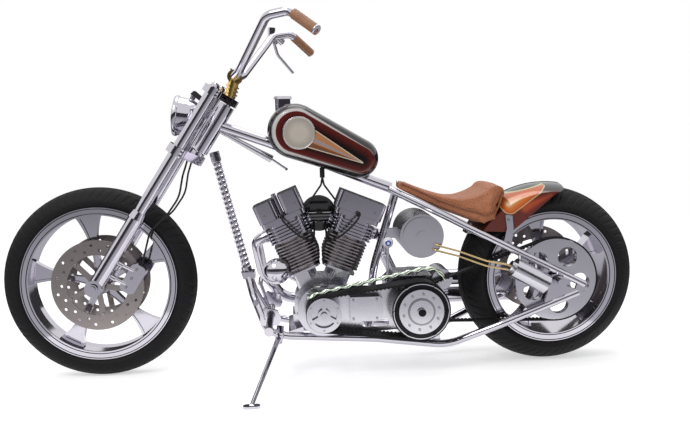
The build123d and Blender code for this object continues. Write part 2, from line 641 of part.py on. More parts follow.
# Gearbox and belt drives
with BuildPart() as pieces["gearbox"]:
    slab([(1050, 204), (1076, 176), (1236, 176), (1262, 204), (1262, 320), (1226, 348),
          (1082, 348), (1050, 316)], 96, -86)
    drum((1160, 262), 74, 112, 96)
    drum((1250, 336), 38, 20, -112)
    bar((1150, 0, 348), (1150, 0, 362), 30)
    for side in (-1, 1):
        y_high, y_low = (118, 88) if side > 0 else (-78, -118)
        slab([(1080, 180), (1080, 117), (1110, 117), (1110, 180)], y_high, y_low)
        slab([(1210, 180), (1210, 102), (1240, 102), (1240, 180)], y_high, y_low)
    drum(CLUTCH, 30, -86, FINAL_Y + 2)
    drum(CLUTCH, SPROCKET_R - 0.5, FINAL_Y, FINAL_Y - FINAL_W)
    drum(CLUTCH, 30, FINAL_Y + 4, FINAL_Y)
    for name in ("left_lower_rail", "right_lower_rail", "seat_post"):
        add(pieces[name].part, mode=Mode.SUBTRACT)

with BuildPart() as pieces["drive_plate"]:
    with BuildSketch(side_plane(-147)) as outline:
        tangent_loop(CRANK, 92, CLUTCH, 76)
        with Locations(((CRANK[0] + CLUTCH[0]) / 2 + 16, CRANK[1] - 52)):
            RectangleRounded(96, 28, 10, mode=Mode.SUBTRACT)
        with Locations(CRANK):
            Circle(30, mode=Mode.SUBTRACT)
        with Locations(CLUTCH):
            Circle(30, mode=Mode.SUBTRACT)
    extrude(outline.sketch, amount=7)
    slab([(905, 300), (905, 212), (1010, 212), (1022, 232), (1022, 290), (1010, 300)], -154, -196)

with BuildPart() as pieces["front_pulley"]:
    drum(CRANK, FRONT_PULLEY_R - 0.5, PRIMARY_Y, PRIMARY_Y - PRIMARY_W)
    drum(CRANK, 20, -110, PRIMARY_Y)
    drum(CRANK, 62, PRIMARY_Y - PRIMARY_W, PRIMARY_Y - PRIMARY_W - 5)
    with BuildSketch(side_plane(PRIMARY_Y - PRIMARY_W - 5)) as face:
        with Locations(CRANK):
            Circle(44)
            Circle(14, mode=Mode.SUBTRACT)
            with PolarLocations(30, 3, start_angle=90):
                Rectangle(40, 13, mode=Mode.SUBTRACT)
            Circle(22, mode=Mode.SUBTRACT)
    extrude(face.sketch, amount=-14, mode=Mode.SUBTRACT)
    drum(CRANK, 12, PRIMARY_Y - PRIMARY_W - 5, PRIMARY_Y - PRIMARY_W - 16)

with BuildPart() as pieces["clutch"]:
    drum(CLUTCH, CLUTCH_R - 0.5, PRIMARY_Y, PRIMARY_Y - PRIMARY_W)
    drum(CLUTCH, 22, -146, PRIMARY_Y)
    drum(CLUTCH, 104, PRIMARY_Y - PRIMARY_W, PRIMARY_Y - PRIMARY_W - 7, bore=84)
    drum(CLUTCH, 83, PRIMARY_Y - PRIMARY_W, PRIMARY_Y - PRIMARY_W - 10)
    drum(CLUTCH, 48, PRIMARY_Y - PRIMARY_W - 10, PRIMARY_Y - PRIMARY_W - 14)
    drum(CLUTCH, 15, PRIMARY_Y - PRIMARY_W - 14, PRIMARY_Y - PRIMARY_W - 24)
    with BuildSketch(side_plane(PRIMARY_Y - PRIMARY_W - 7)) as studs:
        with Locations(CLUTCH):
            with PolarLocations(94, 6):
                Circle(6)
    extrude(studs.sketch, amount=5)

with BuildPart() as pieces["primary_belt"]:
    with BuildSketch(side_plane(PRIMARY_Y)) as loop:
        tangent_loop(CRANK, FRONT_PULLEY_R + PRIMARY_T, CLUTCH, CLUTCH_R + PRIMARY_T)
    extrude(loop.sketch, amount=PRIMARY_W)
    with BuildSketch(side_plane(PRIMARY_Y)) as hollow:
        tangent_loop(CRANK, FRONT_PULLEY_R, CLUTCH, CLUTCH_R)
    extrude(hollow.sketch, amount=PRIMARY_W, mode=Mode.SUBTRACT)

with BuildPart() as pieces["final_belt"]:
    with BuildSketch(side_plane(FINAL_Y)) as loop:
        tangent_loop(CLUTCH, SPROCKET_R + FINAL_T, rear_centre, REAR_PULLEY_R + FINAL_T)
    extrude(loop.sketch, amount=FINAL_W)
    with BuildSketch(side_plane(FINAL_Y)) as hollow:
        tangent_loop(CLUTCH, SPROCKET_R, rear_centre, REAR_PULLEY_R)
    extrude(hollow.sketch, amount=FINAL_W, mode=Mode.SUBTRACT)

with BuildPart() as pieces["belt_guard"]:
    twisted_bar((752, -206, 314), (1150, -206, 390), 11, 6, 60)
    pipe([(1148, -206, 389.6), (1190, -206, 397.6), (1240, -206, 352)], [36], 6)
    bar((758, -206, 314), (758, -154, 314), 5)
    bar((1238, -206, 353), (1238, -112, 353), 5)

KNOB_R, KNOB_Z = 20.0, 482.0
with BuildPart() as pieces["shift_lever"]:
    bar((1046, -132, 300), (1049, -132, KNOB_Z - 12), 5)
    with BuildSketch(side_plane(-132)) as ball:
        with Locations((1049, KNOB_Z)):
            Circle(KNOB_R)
            Rectangle(2 * KNOB_R, 4 * KNOB_R, align=(Align.MAX, Align.CENTER), mode=Mode.SUBTRACT)
    revolve(ball.sketch, axis=Axis((1049, -132, KNOB_Z), (0, 0, 1)))
    bar((1058, -138, 300), (1058, -86, 300), 9)
    bar((1058, -132, 300), (1040, -132, 300), 8)

with BuildPart() as pieces["horn"]:
    with BuildSketch(Plane(origin=(648, -64, 382), x_dir=(0, -1, 0), z_dir=(0, 0, 1))) as half:
        with BuildLine():
            Polyline((0, 0), (0, 30), (14, 47), (26, 47))
            ThreePointArc(*cap_arc((26, 47), (56, 0)))
            Line((56, 0), (0, 0))
        make_face()
    revolve(half.sketch, axis=Axis((648, 0, 382), CROSS))
    bar((652, -72, 380), (712, -60, 344), 7)
    add(pieces["crankcase"].part, mode=Mode.SUBTRACT)

# Foot controls: post on the rail, peg with its end ring, pedal arm, pedal and bracket
PEG_X, PEG_Z = 618.0, 206.0
with BuildPart() as pieces["foot_controls"]:
    for side in (-1, 1):
        bar((PEG_X, side * 117, 166), (PEG_X, side * 138, PEG_Z), 12)
        bar((PEG_X, side * 138, PEG_Z), (PEG_X, side * 262, PEG_Z), 13)
        bar((PEG_X, side * 262, PEG_Z), (PEG_X, side * 272, PEG_Z), 16)
        bar((600, side * 140, 218), (575, side * 150, 292), 7)
        bar((575, side * 146, 292), (575, side * 222, 298), 9)
        slab([(584, 196), (650, 196), (660, 216), (648, 250), (600, 262), (584, 236)],
             side * 139 + 7, side * 139 - 7)
    for name in ("left_lower_rail", "right_lower_rail"):
        add(pieces[name].part, mode=Mode.SUBTRACT)

# Tank, seat and fender
TANK_FRONT, TANK_FRONT_R = (728.0, 887.0), 98.0
TANK_REAR, TANK_REAR_R = (956.0, 784.0), 71.0
# Tank section columns: distance from the middle, and how far the outline draws in
tank_sections = [(-112, 26), (-92, 6), (0, 0), (92, 6), (112, 26)]
with BuildPart() as pieces["fuel_tank"]:
    sections = []
    for across, draw_in in tank_sections:
        with BuildSketch(side_plane(across)) as outline:
            tangent_loop(TANK_FRONT, TANK_FRONT_R - draw_in, TANK_REAR, TANK_REAR_R - draw_in)
        sections.append(outline.sketch.face())
    loft(sections)
    fillet(edges().filter_by(lambda e: abs(abs(e.center().Y) - 112) < 0.5), 9)
    with BuildSketch(Plane(origin=(560, 0, 876.5), x_dir=(0, 1, 0), z_dir=(381, 0, -154))) as tunnel:
        Circle(TUBE_R + 4)
        with Locations((0, -50)):
            Rectangle(2 * TUBE_R + 8, 100)
    extrude(tunnel.sketch, amount=560, mode=Mode.SUBTRACT)

with BuildPart() as pieces["filler_cap"]:
    bar((687, 0, 962), (687, 0, 1004), 28)
    bar((687, 0, 1004), (687, 0, 1014), 33, 31)
    add(pieces["fuel_tank"].part, mode=Mode.SUBTRACT)

with BuildPart() as pieces["petcock_lines"]:
    bar((823, -44, 752), (823, -44, 716), 9)
    bar((823, -58, 730), (823, -44, 730), 6)
    pipe([(823, -44, 720), (818, -44, 690), (778, -40, 634), (742, -36, 600)], [30, 60], 3.5)
    pipe([(823, -44, 720), (828, -44, 690), (868, -40, 634), (892, -36, 600)], [30, 60], 3.5)
    for name in ("fuel_tank", "front_head", "rear_head"):
        add(pieces[name].part, mode=Mode.SUBTRACT)

FENDER_R, FENDER_HALF, FENDER_T = 347.0, 122.0, 4.0
with BuildPart() as pieces["rear_fender"]:
    swing = 62
    start_dir = Vector(-sin(radians(swing)), 0, cos(radians(swing)))
    radial = Plane(origin=REAR_AXLE, x_dir=(0, 1, 0), z_dir=CROSS.cross(start_dir) * -1)
    with BuildSketch(radial) as section:
        outward = 1 if (radial.y_dir.dot(start_dir) > 0) else -1
        out = FENDER_R * outward
        shoulder = 318 * outward
        skirt = 236 * outward
        with BuildLine():
            ThreePointArc((-FENDER_HALF, shoulder), (0, out), (FENDER_HALF, shoulder))
            Line((FENDER_HALF, shoulder), (FENDER_HALF, skirt))
            Line((FENDER_HALF, skirt), (FENDER_HALF - FENDER_T, skirt))
            Line((FENDER_HALF - FENDER_T, skirt), (FENDER_HALF - FENDER_T, shoulder - 3 * outward))
            ThreePointArc((FENDER_HALF - FENDER_T, shoulder - 3 * outward), (0, out - FENDER_T * outward),
                          (FENDER_T - FENDER_HALF, shoulder - 3 * outward))
            Line((FENDER_T - FENDER_HALF, shoulder - 3 * outward), (FENDER_T - FENDER_HALF, skirt))
            Line((FENDER_T - FENDER_HALF, skirt), (-FENDER_HALF, skirt))
            Line((-FENDER_HALF, skirt), (-FENDER_HALF, shoulder))
        make_face()
    revolve(section.sketch, axis=Axis(REAR_AXLE, CROSS), revolution_arc=swing + 8)
    # The skirt is swept up to the rear tip and trimmed short below the seat
    with BuildSketch(side_plane(FENDER_HALF + 20)) as trim:
        with BuildLine():
            ThreePointArc((1506, 506), (1575, 562), (1668, 640))
            Line((1668, 640), (1730, 664))
            Line((1730, 664), (1730, 300))
            Line((1730, 300), (1506, 506))
        make_face()
        with BuildLine():
            Polyline((1506, 506), (1506, 400), (1330, 400), (1330, 480), (1400, 510),
                     (1470, 506), close=True)
        make_face()
    extrude(trim.sketch, amount=2 * FENDER_HALF + 40, mode=Mode.SUBTRACT)
    for name in ("left_upper_stay", "right_upper_stay"):
        add(pieces[name].part, mode=Mode.SUBTRACT)

with BuildPart() as pieces["fender_struts"]:
    for side in (-1, 1):
        y = side * (FENDER_HALF + 6)
        slab([(1478, 570), (1504, 566), (1508, 520), (1500, 450), (1470, 458), (1484, 520)],
             y + 6, y - 6)
    for name in ("left_upper_stay", "right_upper_stay"):
        add(pieces[name].part, mode=Mode.SUBTRACT)

with BuildPart() as pieces["seat"]:
    with BuildSketch(side_plane(140)) as profile:
        with BuildLine():
            Line((1096, 674), (1100, 700))
            ThreePointArc((1100, 700), (1180, 664), (1270, 634))
            ThreePointArc((1270, 634), (1340, 630), (1410, 656))
            ThreePointArc((1410, 656), (1466, 676), (1502, 632))
            ThreePointArc((1502, 632), (1478, 572), (1394, 538))
            Line((1394, 538), (1256, 590))
            Line((1256, 590), (1096, 674))
        make_face()
    extrude(profile.sketch, amount=280)
    with BuildSketch(Plane.XY.offset(500)) as plan:
        with BuildLine():
            Line((1090, -38), (1090, 38))
            ThreePointArc((1090, 38), (1230, 62), (1340, 116))
            ThreePointArc((1340, 116), (1420, 134), (1480, 110))
            ThreePointArc((1480, 110), (1508, 0), (1480, -110))
            ThreePointArc((1480, -110), (1420, -134), (1340, -116))
            ThreePointArc((1340, -116), (1230, -62), (1090, -38))
        make_face()
    extrude(plan.sketch, amount=260, mode=Mode.INTERSECT)
    for name in ("left_upper_stay", "right_upper_stay", "backbone", "rear_fender"):
        add(pieces[name].part, mode=Mode.SUBTRACT)
    with BuildSketch(side_plane(FENDER_HALF)) as wheel_room:
        with Locations(rear_centre):
            Circle(FENDER_R)
    extrude(wheel_room.sketch, amount=2 * FENDER_HALF, mode=Mode.SUBTRACT)

# Oil system
TANK_CENTRE = (1177.0, 498.0)
with BuildPart() as pieces["oil_tank"]:
    drum(TANK_CENTRE, 80, 112, -112)
    drum(TANK_CENTRE, 70, 118, -118)
    drum(TANK_CENTRE, 20, 122, -122)
    slab([(1040, 482), (1110, 478), (1110, 518), (1050, 514)], 12, -12)
    add(pieces["seat_post"].part, mode=Mode.SUBTRACT)

CAN_FRONT, CAN_REAR = Vector(1492, -194, 388), Vector(1610, -194, 322)
with BuildPart() as pieces["oil_canister"]:
    can_line = (CAN_REAR - CAN_FRONT).normalized()
    bar(CAN_FRONT, CAN_REAR, 36)
    bar(CAN_FRONT - can_line * 14, CAN_FRONT, 20)
    bar(CAN_REAR, CAN_REAR + can_line * 8, 30, 22)
    for along in (24, 92):
        hold = CAN_FRONT + can_line * along
        bar(hold + Vector(0, 0, 10), Vector(hold.X + 10, -163, hold.Z + 52), 6)
    add(pieces["left_upper_stay"].part, mode=Mode.SUBTRACT)

with BuildPart() as pieces["oil_lines"]:
    for step in (0, 1):
        drop = 18 * step
        pipe([(1222 - 6 * step, -110, 470 - drop), (1222 - 6 * step, -134, 468 - drop),
              (1300, -150, 446 - drop), (1400, -176, 410 - drop),
              (1472, -194, 398 - drop), (1486, -194, 388 - drop)], [14, 60, 120, 16], 3.5)
    add(pieces["oil_tank"].part, mode=Mode.SUBTRACT)
    add(pieces["oil_canister"].part, mode=Mode.SUBTRACT)

with BuildPart() as pieces["rear_caliper"]:
    with BuildSketch(side_plane(150)) as block:
        with Locations((1546, 268)):
            RectangleRounded(62, 96, 20, rotation=-24)
    extrude(block.sketch, amount=42)
    with BuildSketch(side_plane(124)) as slot:
        with Locations(rear_centre):
            Circle(DISC_R + 6)
    extrude(slot.sketch, amount=12, mode=Mode.SUBTRACT)
    bar((1540, 144, 262), (1556, 160, 226), 12)
    bar((1556, 150, 290), (1616, 166, 300), 9)
    add(pieces["right_lower_rail"].part, mode=Mode.SUBTRACT)

# Side stand, drawn where it holds the leaning machine
foot_height = -STAND_FOOT_Y * tan(radians(LEAN))
pivot = Vector(*STAND_PIVOT)
foot = Vector(STAND_FOOT_X, STAND_FOOT_Y, foot_height)
FOLDED = Vector(0.975, -0.12, -0.19)
stand_axis = (foot - pivot).cross(FOLDED).normalized()
with BuildPart() as pieces["side_stand"]:
    leg = (foot - pivot).normalized()
    bar(pivot + stand_axis * 14, pivot - stand_axis * 14, 15)
    bar(pivot, foot + Vector(0, 0, 7), 10, 7)
    pad = Plane(origin=foot, x_dir=(1, 0, 0), z_dir=(0, sin(radians(LEAN)), cos(radians(LEAN))))
    with BuildSketch(pad) as sole:
        RectangleRounded(54, 34, 14)
    extrude(sole.sketch, amount=8)
    with BuildSketch(Plane(origin=pivot + stand_axis * 20, z_dir=stand_axis * -1)) as hole:
        Circle(7.5)
    extrude(hole.sketch, amount=40, mode=Mode.SUBTRACT)

with BuildPart() as pieces["stand_bracket"]:
    bar(pivot + stand_axis * 24, pivot - stand_axis * 24, 7)
    inboard = (CROSS - stand_axis * CROSS.dot(stand_axis)).normalized()
    clevis = Plane(origin=pivot, x_dir=inboard, z_dir=stand_axis)
    for low, high, reach_from in ((-24, -16, -13), (16, 24, -13), (-24, 24, 22)):
        with BuildSketch(clevis.offset(low)) as ear:
            with Locations((reach_from, 0)):
                RectangleRounded(36 - reach_from, 26, 6, align=(Align.MIN, Align.CENTER))
        extrude(ear.sketch, amount=high - low)
    add(pieces["left_lower_rail"].part, mode=Mode.SUBTRACT)

# The bodies that move together, each with its pieces
moving_bodies = {
    "front_end": ["left_fork_leg", "right_fork_leg", "upper_yoke", "lower_yoke", "front_axle",
                  "headlight", "headlight_lens", "risers", "handlebar", "grips", "brake_lever",
                  "front_calipers", "brake_lines"],
    "front_wheel": ["front_rim", "front_tyre", "front_discs"],
    "rear_wheel": ["rear_rim", "rear_tyre", "rear_pulley", "rear_disc"],
    "side_stand": ["side_stand"],
}

# The parked machine: leaned to the left, its origin under the middle of its outline
leaning = Location((0, 0, 0), (LEAN, 0, 0))
leaned = {name: piece.part.moved(leaning) for name, piece in pieces.items()}
boxes = [shape.bounding_box() for shape in leaned.values()]
middle_x = (min(b.min.X for b in boxes) + max(b.max.X for b in boxes)) / 2
middle_y = (min(b.min.Y for b in boxes) + max(b.max.Y for b in boxes)) / 2
base_z = min(b.min.Z for b in boxes)
PARKED = Location((-middle_x, -middle_y, -base_z), (LEAN, 0, 0))
print("origin moved by", round(middle_x, 2), round(middle_y, 2), round(base_z, 3))

for name, piece in pieces.items():
    piece.part.label = name
    parked = piece.part.moved(PARKED)
    parked.label = name
    export_step(parked, f"parts/{name}.step")
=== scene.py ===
# %% [markdown]
# # A chopper, dressed on its CAD frame
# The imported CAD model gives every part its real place. This lesson adds what the CAD leaves
# out: the finishes, the tyres' tread, the stitched seat, the leather on the grips, bolts,
# belt teeth and leads. Everything is in metres and moves with the body it is fixed to.

import json
from math import asin, atan2, ceil, cos, degrees, pi, radians, sin

import bmesh
import bpy
from mathutils import Matrix, Vector


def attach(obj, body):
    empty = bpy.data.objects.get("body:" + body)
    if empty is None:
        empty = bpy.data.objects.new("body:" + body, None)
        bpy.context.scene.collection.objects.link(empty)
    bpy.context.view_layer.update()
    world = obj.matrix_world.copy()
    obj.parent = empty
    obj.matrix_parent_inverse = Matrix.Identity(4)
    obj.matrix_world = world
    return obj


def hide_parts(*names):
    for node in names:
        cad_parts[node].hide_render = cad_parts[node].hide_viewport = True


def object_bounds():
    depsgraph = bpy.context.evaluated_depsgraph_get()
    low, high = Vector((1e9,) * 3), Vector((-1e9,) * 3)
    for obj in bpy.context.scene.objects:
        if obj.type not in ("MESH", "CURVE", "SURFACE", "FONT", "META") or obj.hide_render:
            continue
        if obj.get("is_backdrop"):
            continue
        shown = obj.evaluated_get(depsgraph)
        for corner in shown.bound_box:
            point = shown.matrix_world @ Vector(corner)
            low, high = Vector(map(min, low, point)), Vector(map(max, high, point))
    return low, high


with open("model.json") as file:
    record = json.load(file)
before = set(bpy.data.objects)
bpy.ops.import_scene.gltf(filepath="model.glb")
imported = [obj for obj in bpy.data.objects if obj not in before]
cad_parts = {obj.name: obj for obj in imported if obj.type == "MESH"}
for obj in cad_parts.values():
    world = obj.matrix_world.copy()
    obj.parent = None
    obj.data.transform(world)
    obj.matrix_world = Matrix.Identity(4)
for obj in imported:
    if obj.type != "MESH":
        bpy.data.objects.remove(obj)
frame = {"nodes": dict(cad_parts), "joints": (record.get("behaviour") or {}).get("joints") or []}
nodes = frame["nodes"]
joints = {joint["name"]: joint for joint in frame["joints"]}
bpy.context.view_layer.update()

# %% [markdown]
# ## The machine's own directions
# The motorcycle leans on its stand, so its pieces are easier to place in its own upright
# frame: X back from the front axle, Y to the rider's right and Z up its middle, in
# millimetres. The two wheel joints give that frame, and a place by a wheel is worked out from it.

# %% From the machine's millimetres to the scene's metres
FRONT_TYRE_R, REAR_TYRE_R = 350.0, 329.0
across = Vector(joints["front_wheel_spin"]["axis"]).normalized()
back = Vector((1, 0, 0))
up = back.cross(across)
front_axle = Vector(joints["front_wheel_spin"]["pos_m"])
rear_axle = Vector(joints["rear_wheel_spin"]["pos_m"])
ground_point = front_axle - up * FRONT_TYRE_R / 1000
MACHINE = Matrix((back, across, up)).transposed()
TO_SCENE = Matrix.Translation(ground_point) @ MACHINE.to_4x4() @ Matrix.Scale(0.001, 4)
lean = MACHINE.to_euler().x
wheelbase = (rear_axle - front_axle).length * 1000
FRONT_HUB, REAR_HUB = (0, FRONT_TYRE_R), (wheelbase, REAR_TYRE_R)
print("lean", round(degrees(lean), 2), "degrees, wheelbase", round(wheelbase, 1), "mm")

# %% [markdown]
# ## Finishes
# Each finish is a Principled shader. A noise texture in Object coordinates breaks up the
# gloss or lifts a bump, so that no surface is perfectly even. Object coordinates suit
# pieces whose place is in their mesh, since the pattern then stays still on them.

# %% A finish and its grain
def finish(name, color, metallic=0.0, roughness=0.5, coat=0.0, transmission=0.0):
    """A new material with its main values set."""
    made = bpy.data.materials.new(name)
    made.use_nodes = True
    shader = made.node_tree.nodes["Principled BSDF"]
    shader.inputs["Base Color"].default_value = (*color, 1.0)
    shader.inputs["Metallic"].default_value = metallic
    shader.inputs["Roughness"].default_value = roughness
    shader.inputs["Coat Weight"].default_value = coat
    shader.inputs["Coat Roughness"].default_value = 0.05
    shader.inputs["Transmission Weight"].default_value = transmission
    return made


def object_noise(made, scale, detail=4.0):
    """A noise texture in Object coordinates, ready to drive another socket."""
    tree = made.node_tree
    place_node = tree.nodes.new("ShaderNodeTexCoord")
    noise = tree.nodes.new("ShaderNodeTexNoise")
    noise.inputs["Scale"].default_value = scale
    noise.inputs["Detail"].default_value = detail
    tree.links.new(place_node.outputs["Object"], noise.inputs["Vector"])
    return noise.outputs["Fac"]


def uneven_gloss(made, scale, low, high):
    """Let the roughness drift between two values."""
    tree = made.node_tree
    spread = tree.nodes.new("ShaderNodeMapRange")
    spread.inputs["To Min"].default_value = low
    spread.inputs["To Max"].default_value = high
    tree.links.new(object_noise(made, scale), spread.inputs["Value"])
    tree.links.new(spread.outputs["Result"], tree.nodes["Principled BSDF"].inputs["Roughness"])


def bump(made, height, distance, strength=0.6):
    """Raise the surface by a height socket, over a distance in metres."""
    tree = made.node_tree
    lift = tree.nodes.new("ShaderNodeBump")
    lift.inputs["Distance"].default_value = distance
    lift.inputs["Strength"].default_value = strength
    tree.links.new(height, lift.inputs["Height"])
    tree.links.new(lift.outputs["Normal"], tree.nodes["Principled BSDF"].inputs["Normal"])


def two_tone(made, factor, first, second):
    """Drift the base colour between two colours by a factor socket."""
    tree = made.node_tree
    blend_node = tree.nodes.new("ShaderNodeMix")
    blend_node.data_type = "RGBA"
    blend_node.inputs[6].default_value = (*first, 1.0)
    blend_node.inputs[7].default_value = (*second, 1.0)
    tree.links.new(factor, blend_node.inputs[0])
    tree.links.new(blend_node.outputs[2], tree.nodes["Principled BSDF"].inputs["Base Color"])


# %% Metals
CHROME_COLOR = (0.58, 0.56, 0.62)
chrome = finish("chrome", CHROME_COLOR, 1.0, 0.08)
uneven_gloss(chrome, 9.0, 0.05, 0.12)
alloy = finish("polished alloy", (0.60, 0.59, 0.64), 1.0, 0.2)
uneven_gloss(alloy, 24.0, 0.13, 0.26)
fin_metal = finish("blasted fins", (0.36, 0.33, 0.34), 1.0, 0.34)
uneven_gloss(fin_metal, 30.0, 0.28, 0.38)
head_metal = finish("polished heads", (0.44, 0.42, 0.48), 1.0, 0.16)
uneven_gloss(head_metal, 14.0, 0.12, 0.20)
disc_metal = finish("ground disc steel", (0.36, 0.32, 0.31), 1.0, 0.34)
uneven_gloss(disc_metal, 120.0, 0.28, 0.42)
steel = finish("bolt steel", (0.46, 0.45, 0.47), 1.0, 0.25)
dark_steel = finish("blackened steel", (0.05, 0.05, 0.055), 1.0, 0.3)
gold = finish("gold plate", (0.86, 0.60, 0.20), 1.0, 0.16)
uneven_gloss(gold, 80.0, 0.10, 0.24)
brass = finish("brass pipe", (0.66, 0.49, 0.25), 1.0, 0.22)
uneven_gloss(brass, 80.0, 0.16, 0.30)
green_chrome = finish("tinted chrome", (0.58, 0.66, 0.54), 1.0, 0.12)
uneven_gloss(green_chrome, 60.0, 0.08, 0.18)
enamel = finish("black enamel", (0.012, 0.012, 0.014), 0.0, 0.18, coat=1.0)
uneven_gloss(enamel, 30.0, 0.12, 0.26)
glass = finish("lamp glass", (0.92, 0.94, 0.96), 0.0, 0.03, transmission=0.9)
uneven_gloss(glass, 30.0, 0.02, 0.05)
print("metals, enamel and glass", len(bpy.data.materials))

# %% Rubbers
rubber = finish("tyre rubber", (0.011, 0.011, 0.012), 0.0, 0.6)
bump(rubber, object_noise(rubber, 900.0), 0.0004, 0.4)
belt_rubber = finish("belt rubber", (0.010, 0.010, 0.011), 0.0, 0.5)
bump(belt_rubber, object_noise(belt_rubber, 700.0), 0.0003, 0.4)
hose = finish("braided hose", (0.022, 0.022, 0.024), 0.0, 0.42)
bump(hose, object_noise(hose, 1500.0), 0.0006)
RUBBER_SHEEN = 0.16
for soft in (rubber, belt_rubber, hose):
    soft.node_tree.nodes["Principled BSDF"].inputs["Specular IOR Level"].default_value = RUBBER_SHEEN
print("finishes", len(bpy.data.materials))

# %% [markdown]
# ## Leather
# The seat is tooled tan leather and the grips are wrapped in a darker one. Voronoi cells
# make the grain's pebbles, and a slow noise drifts the colour, as hand rubbed dye does.

# %% Leather with pebbles
STAMP_WEIGHT, STAMP_LIFT, GRAIN_LIFT = 3.0, 0.0016, 0.0006
# How far in from a tooled cell's edge the colour is darker
DARK_LINE_REACH = 0.10


def leather(name, light, dark, pebble, tooled=0.0):
    """Leather with pebbles of about 1/pebble metres, and tooled cells of 1/tooled where given."""
    made = finish(name, light, 0.0, 0.42)
    tree = made.node_tree
    place_node = tree.nodes.new("ShaderNodeTexCoord")
    cells = tree.nodes.new("ShaderNodeTexVoronoi")
    cells.inputs["Scale"].default_value = pebble
    tree.links.new(place_node.outputs["Object"], cells.inputs["Vector"])
    height = cells.outputs["Distance"]
    if tooled:
        stamps = tree.nodes.new("ShaderNodeTexVoronoi")
        stamps.feature = "DISTANCE_TO_EDGE"
        stamps.inputs["Scale"].default_value = tooled
        tree.links.new(place_node.outputs["Object"], stamps.inputs["Vector"])
        both = tree.nodes.new("ShaderNodeMath")
        both.operation = "MULTIPLY_ADD"
        both.inputs[1].default_value = STAMP_WEIGHT
        tree.links.new(stamps.outputs["Distance"], both.inputs[0])
        tree.links.new(height, both.inputs[2])
        height = both.outputs[0]
    bump(made, height, STAMP_LIFT if tooled else GRAIN_LIFT, 0.9)
    shade = object_noise(made, 16.0, 6.0)
    # The colour goes darker along the lines between the tooled cells.
    if tooled:
        line_darkening = tree.nodes.new("ShaderNodeMapRange")
        line_darkening.inputs["From Max"].default_value = DARK_LINE_REACH
        tree.links.new(stamps.outputs["Distance"], line_darkening.inputs["Value"])
        tree.links.new(shade, line_darkening.inputs["To Max"])
        shade = line_darkening.outputs["Result"]
    two_tone(made, shade, dark, light)
    return made


seat_leather = leather("seat leather", (0.66, 0.26, 0.12), (0.33, 0.105, 0.042), 420.0, 120.0)
edge_leather = leather("edge lacing", (0.30, 0.105, 0.045), (0.13, 0.04, 0.016), 500.0)
grip_leather = leather("grip leather", (0.42, 0.20, 0.10), (0.22, 0.09, 0.04), 500.0)

# %% [markdown]
# ## Paint drawn with distances
# The tank and fender are sprayed with soft-edged panels. Each panel is a distance field: a
# tapered capsule between two circles, worked out with Math nodes in the machine's own side
# view. Where the distance is below zero the panel shows, so the edges stay sharp at any
# size and no picture file is needed. The fender also carries a painted highlight, a soft pale patch.

# %% Distances as nodes
class SideView:
    """Draws shapes in the machine's side view, in metres, as nodes of one material."""

    def __init__(self, made):
        self.tree = made.node_tree
        source = self.tree.nodes.new("ShaderNodeTexCoord")
        turn = self.tree.nodes.new("ShaderNodeMapping")
        turn.vector_type = "TEXTURE"
        turn.inputs["Location"].default_value = ground_point
        turn.inputs["Rotation"].default_value = (lean, 0.0, 0.0)
        split = self.tree.nodes.new("ShaderNodeSeparateXYZ")
        self.tree.links.new(source.outputs["Object"], turn.inputs["Vector"])
        self.tree.links.new(turn.outputs["Vector"], split.inputs[0])
        self.x, self.y, self.z = split.outputs

    def sum(self, operation, *values):
        """One Math node's result."""
        node = self.tree.nodes.new("ShaderNodeMath")
        node.operation = operation
        for socket, value in zip(node.inputs, values):
            if isinstance(value, (int, float)):
                socket.default_value = value
            else:
                self.tree.links.new(value, socket)
        return node.outputs[0]

    def capsule(self, first, first_r, last, last_r):
        """Signed distance to a tapered capsule, and the place across it from -1 to 1."""
        run = Vector((last[0] - first[0], last[1] - first[1]))
        dx = self.sum("SUBTRACT", self.x, first[0])
        dz = self.sum("SUBTRACT", self.z, first[1])
        dot = self.sum("ADD", self.sum("MULTIPLY", dx, run.x), self.sum("MULTIPLY", dz, run.y))
        share = self.sum("DIVIDE", dot, run.length_squared)
        share = self.sum("MINIMUM", self.sum("MAXIMUM", share, 0.0), 1.0)
        off_x = self.sum("SUBTRACT", dx, self.sum("MULTIPLY", share, run.x))
        off_z = self.sum("SUBTRACT", dz, self.sum("MULTIPLY", share, run.y))
        squares = self.sum("ADD", self.sum("MULTIPLY", off_x, off_x), self.sum("MULTIPLY", off_z, off_z))
        width = self.sum("ADD", self.sum("MULTIPLY", share, last_r - first_r), first_r)
        side = self.sum("SUBTRACT", self.sum("MULTIPLY", dz, run.x), self.sum("MULTIPLY", dx, run.y))
        level = self.sum("DIVIDE", self.sum("DIVIDE", side, run.length), width)
        return self.sum("SUBTRACT", self.sum("SQRT", squares), width), level

    def circle(self, centre, radius, run=0.001):
        """Signed distance to a circle, drawn as a capsule that is hardly longer than it is wide."""
        return self.capsule(centre, radius, (centre[0] + run, centre[1]), radius)[0]

    def inside(self, distance, low, high, soft=0.0006):
        """1 where a value lies between two limits, with a soft edge."""
        above = self.sum("DIVIDE", self.sum("SUBTRACT", distance, low), soft)
        below = self.sum("DIVIDE", self.sum("SUBTRACT", high, distance), soft)
        both = self.sum("MINIMUM", above, below)
        return self.sum("MINIMUM", self.sum("MAXIMUM", both, 0.0), 1.0)

    def layer(self, under, over, mask):
        """One colour laid over another where the mask is 1."""
        node = self.tree.nodes.new("ShaderNodeMix")
        node.data_type = "RGBA"
        for slot, value in ((0, mask), (6, under), (7, over)):
            if isinstance(value, tuple):
                node.inputs[slot].default_value = (*value, 1.0)
            else:
                self.tree.links.new(value, node.inputs[slot])
        return node.outputs[2]

    def done(self, color):
        """Use a colour as the base colour."""
        shader = self.tree.nodes["Principled BSDF"]
        self.tree.links.new(color, shader.inputs["Base Color"])


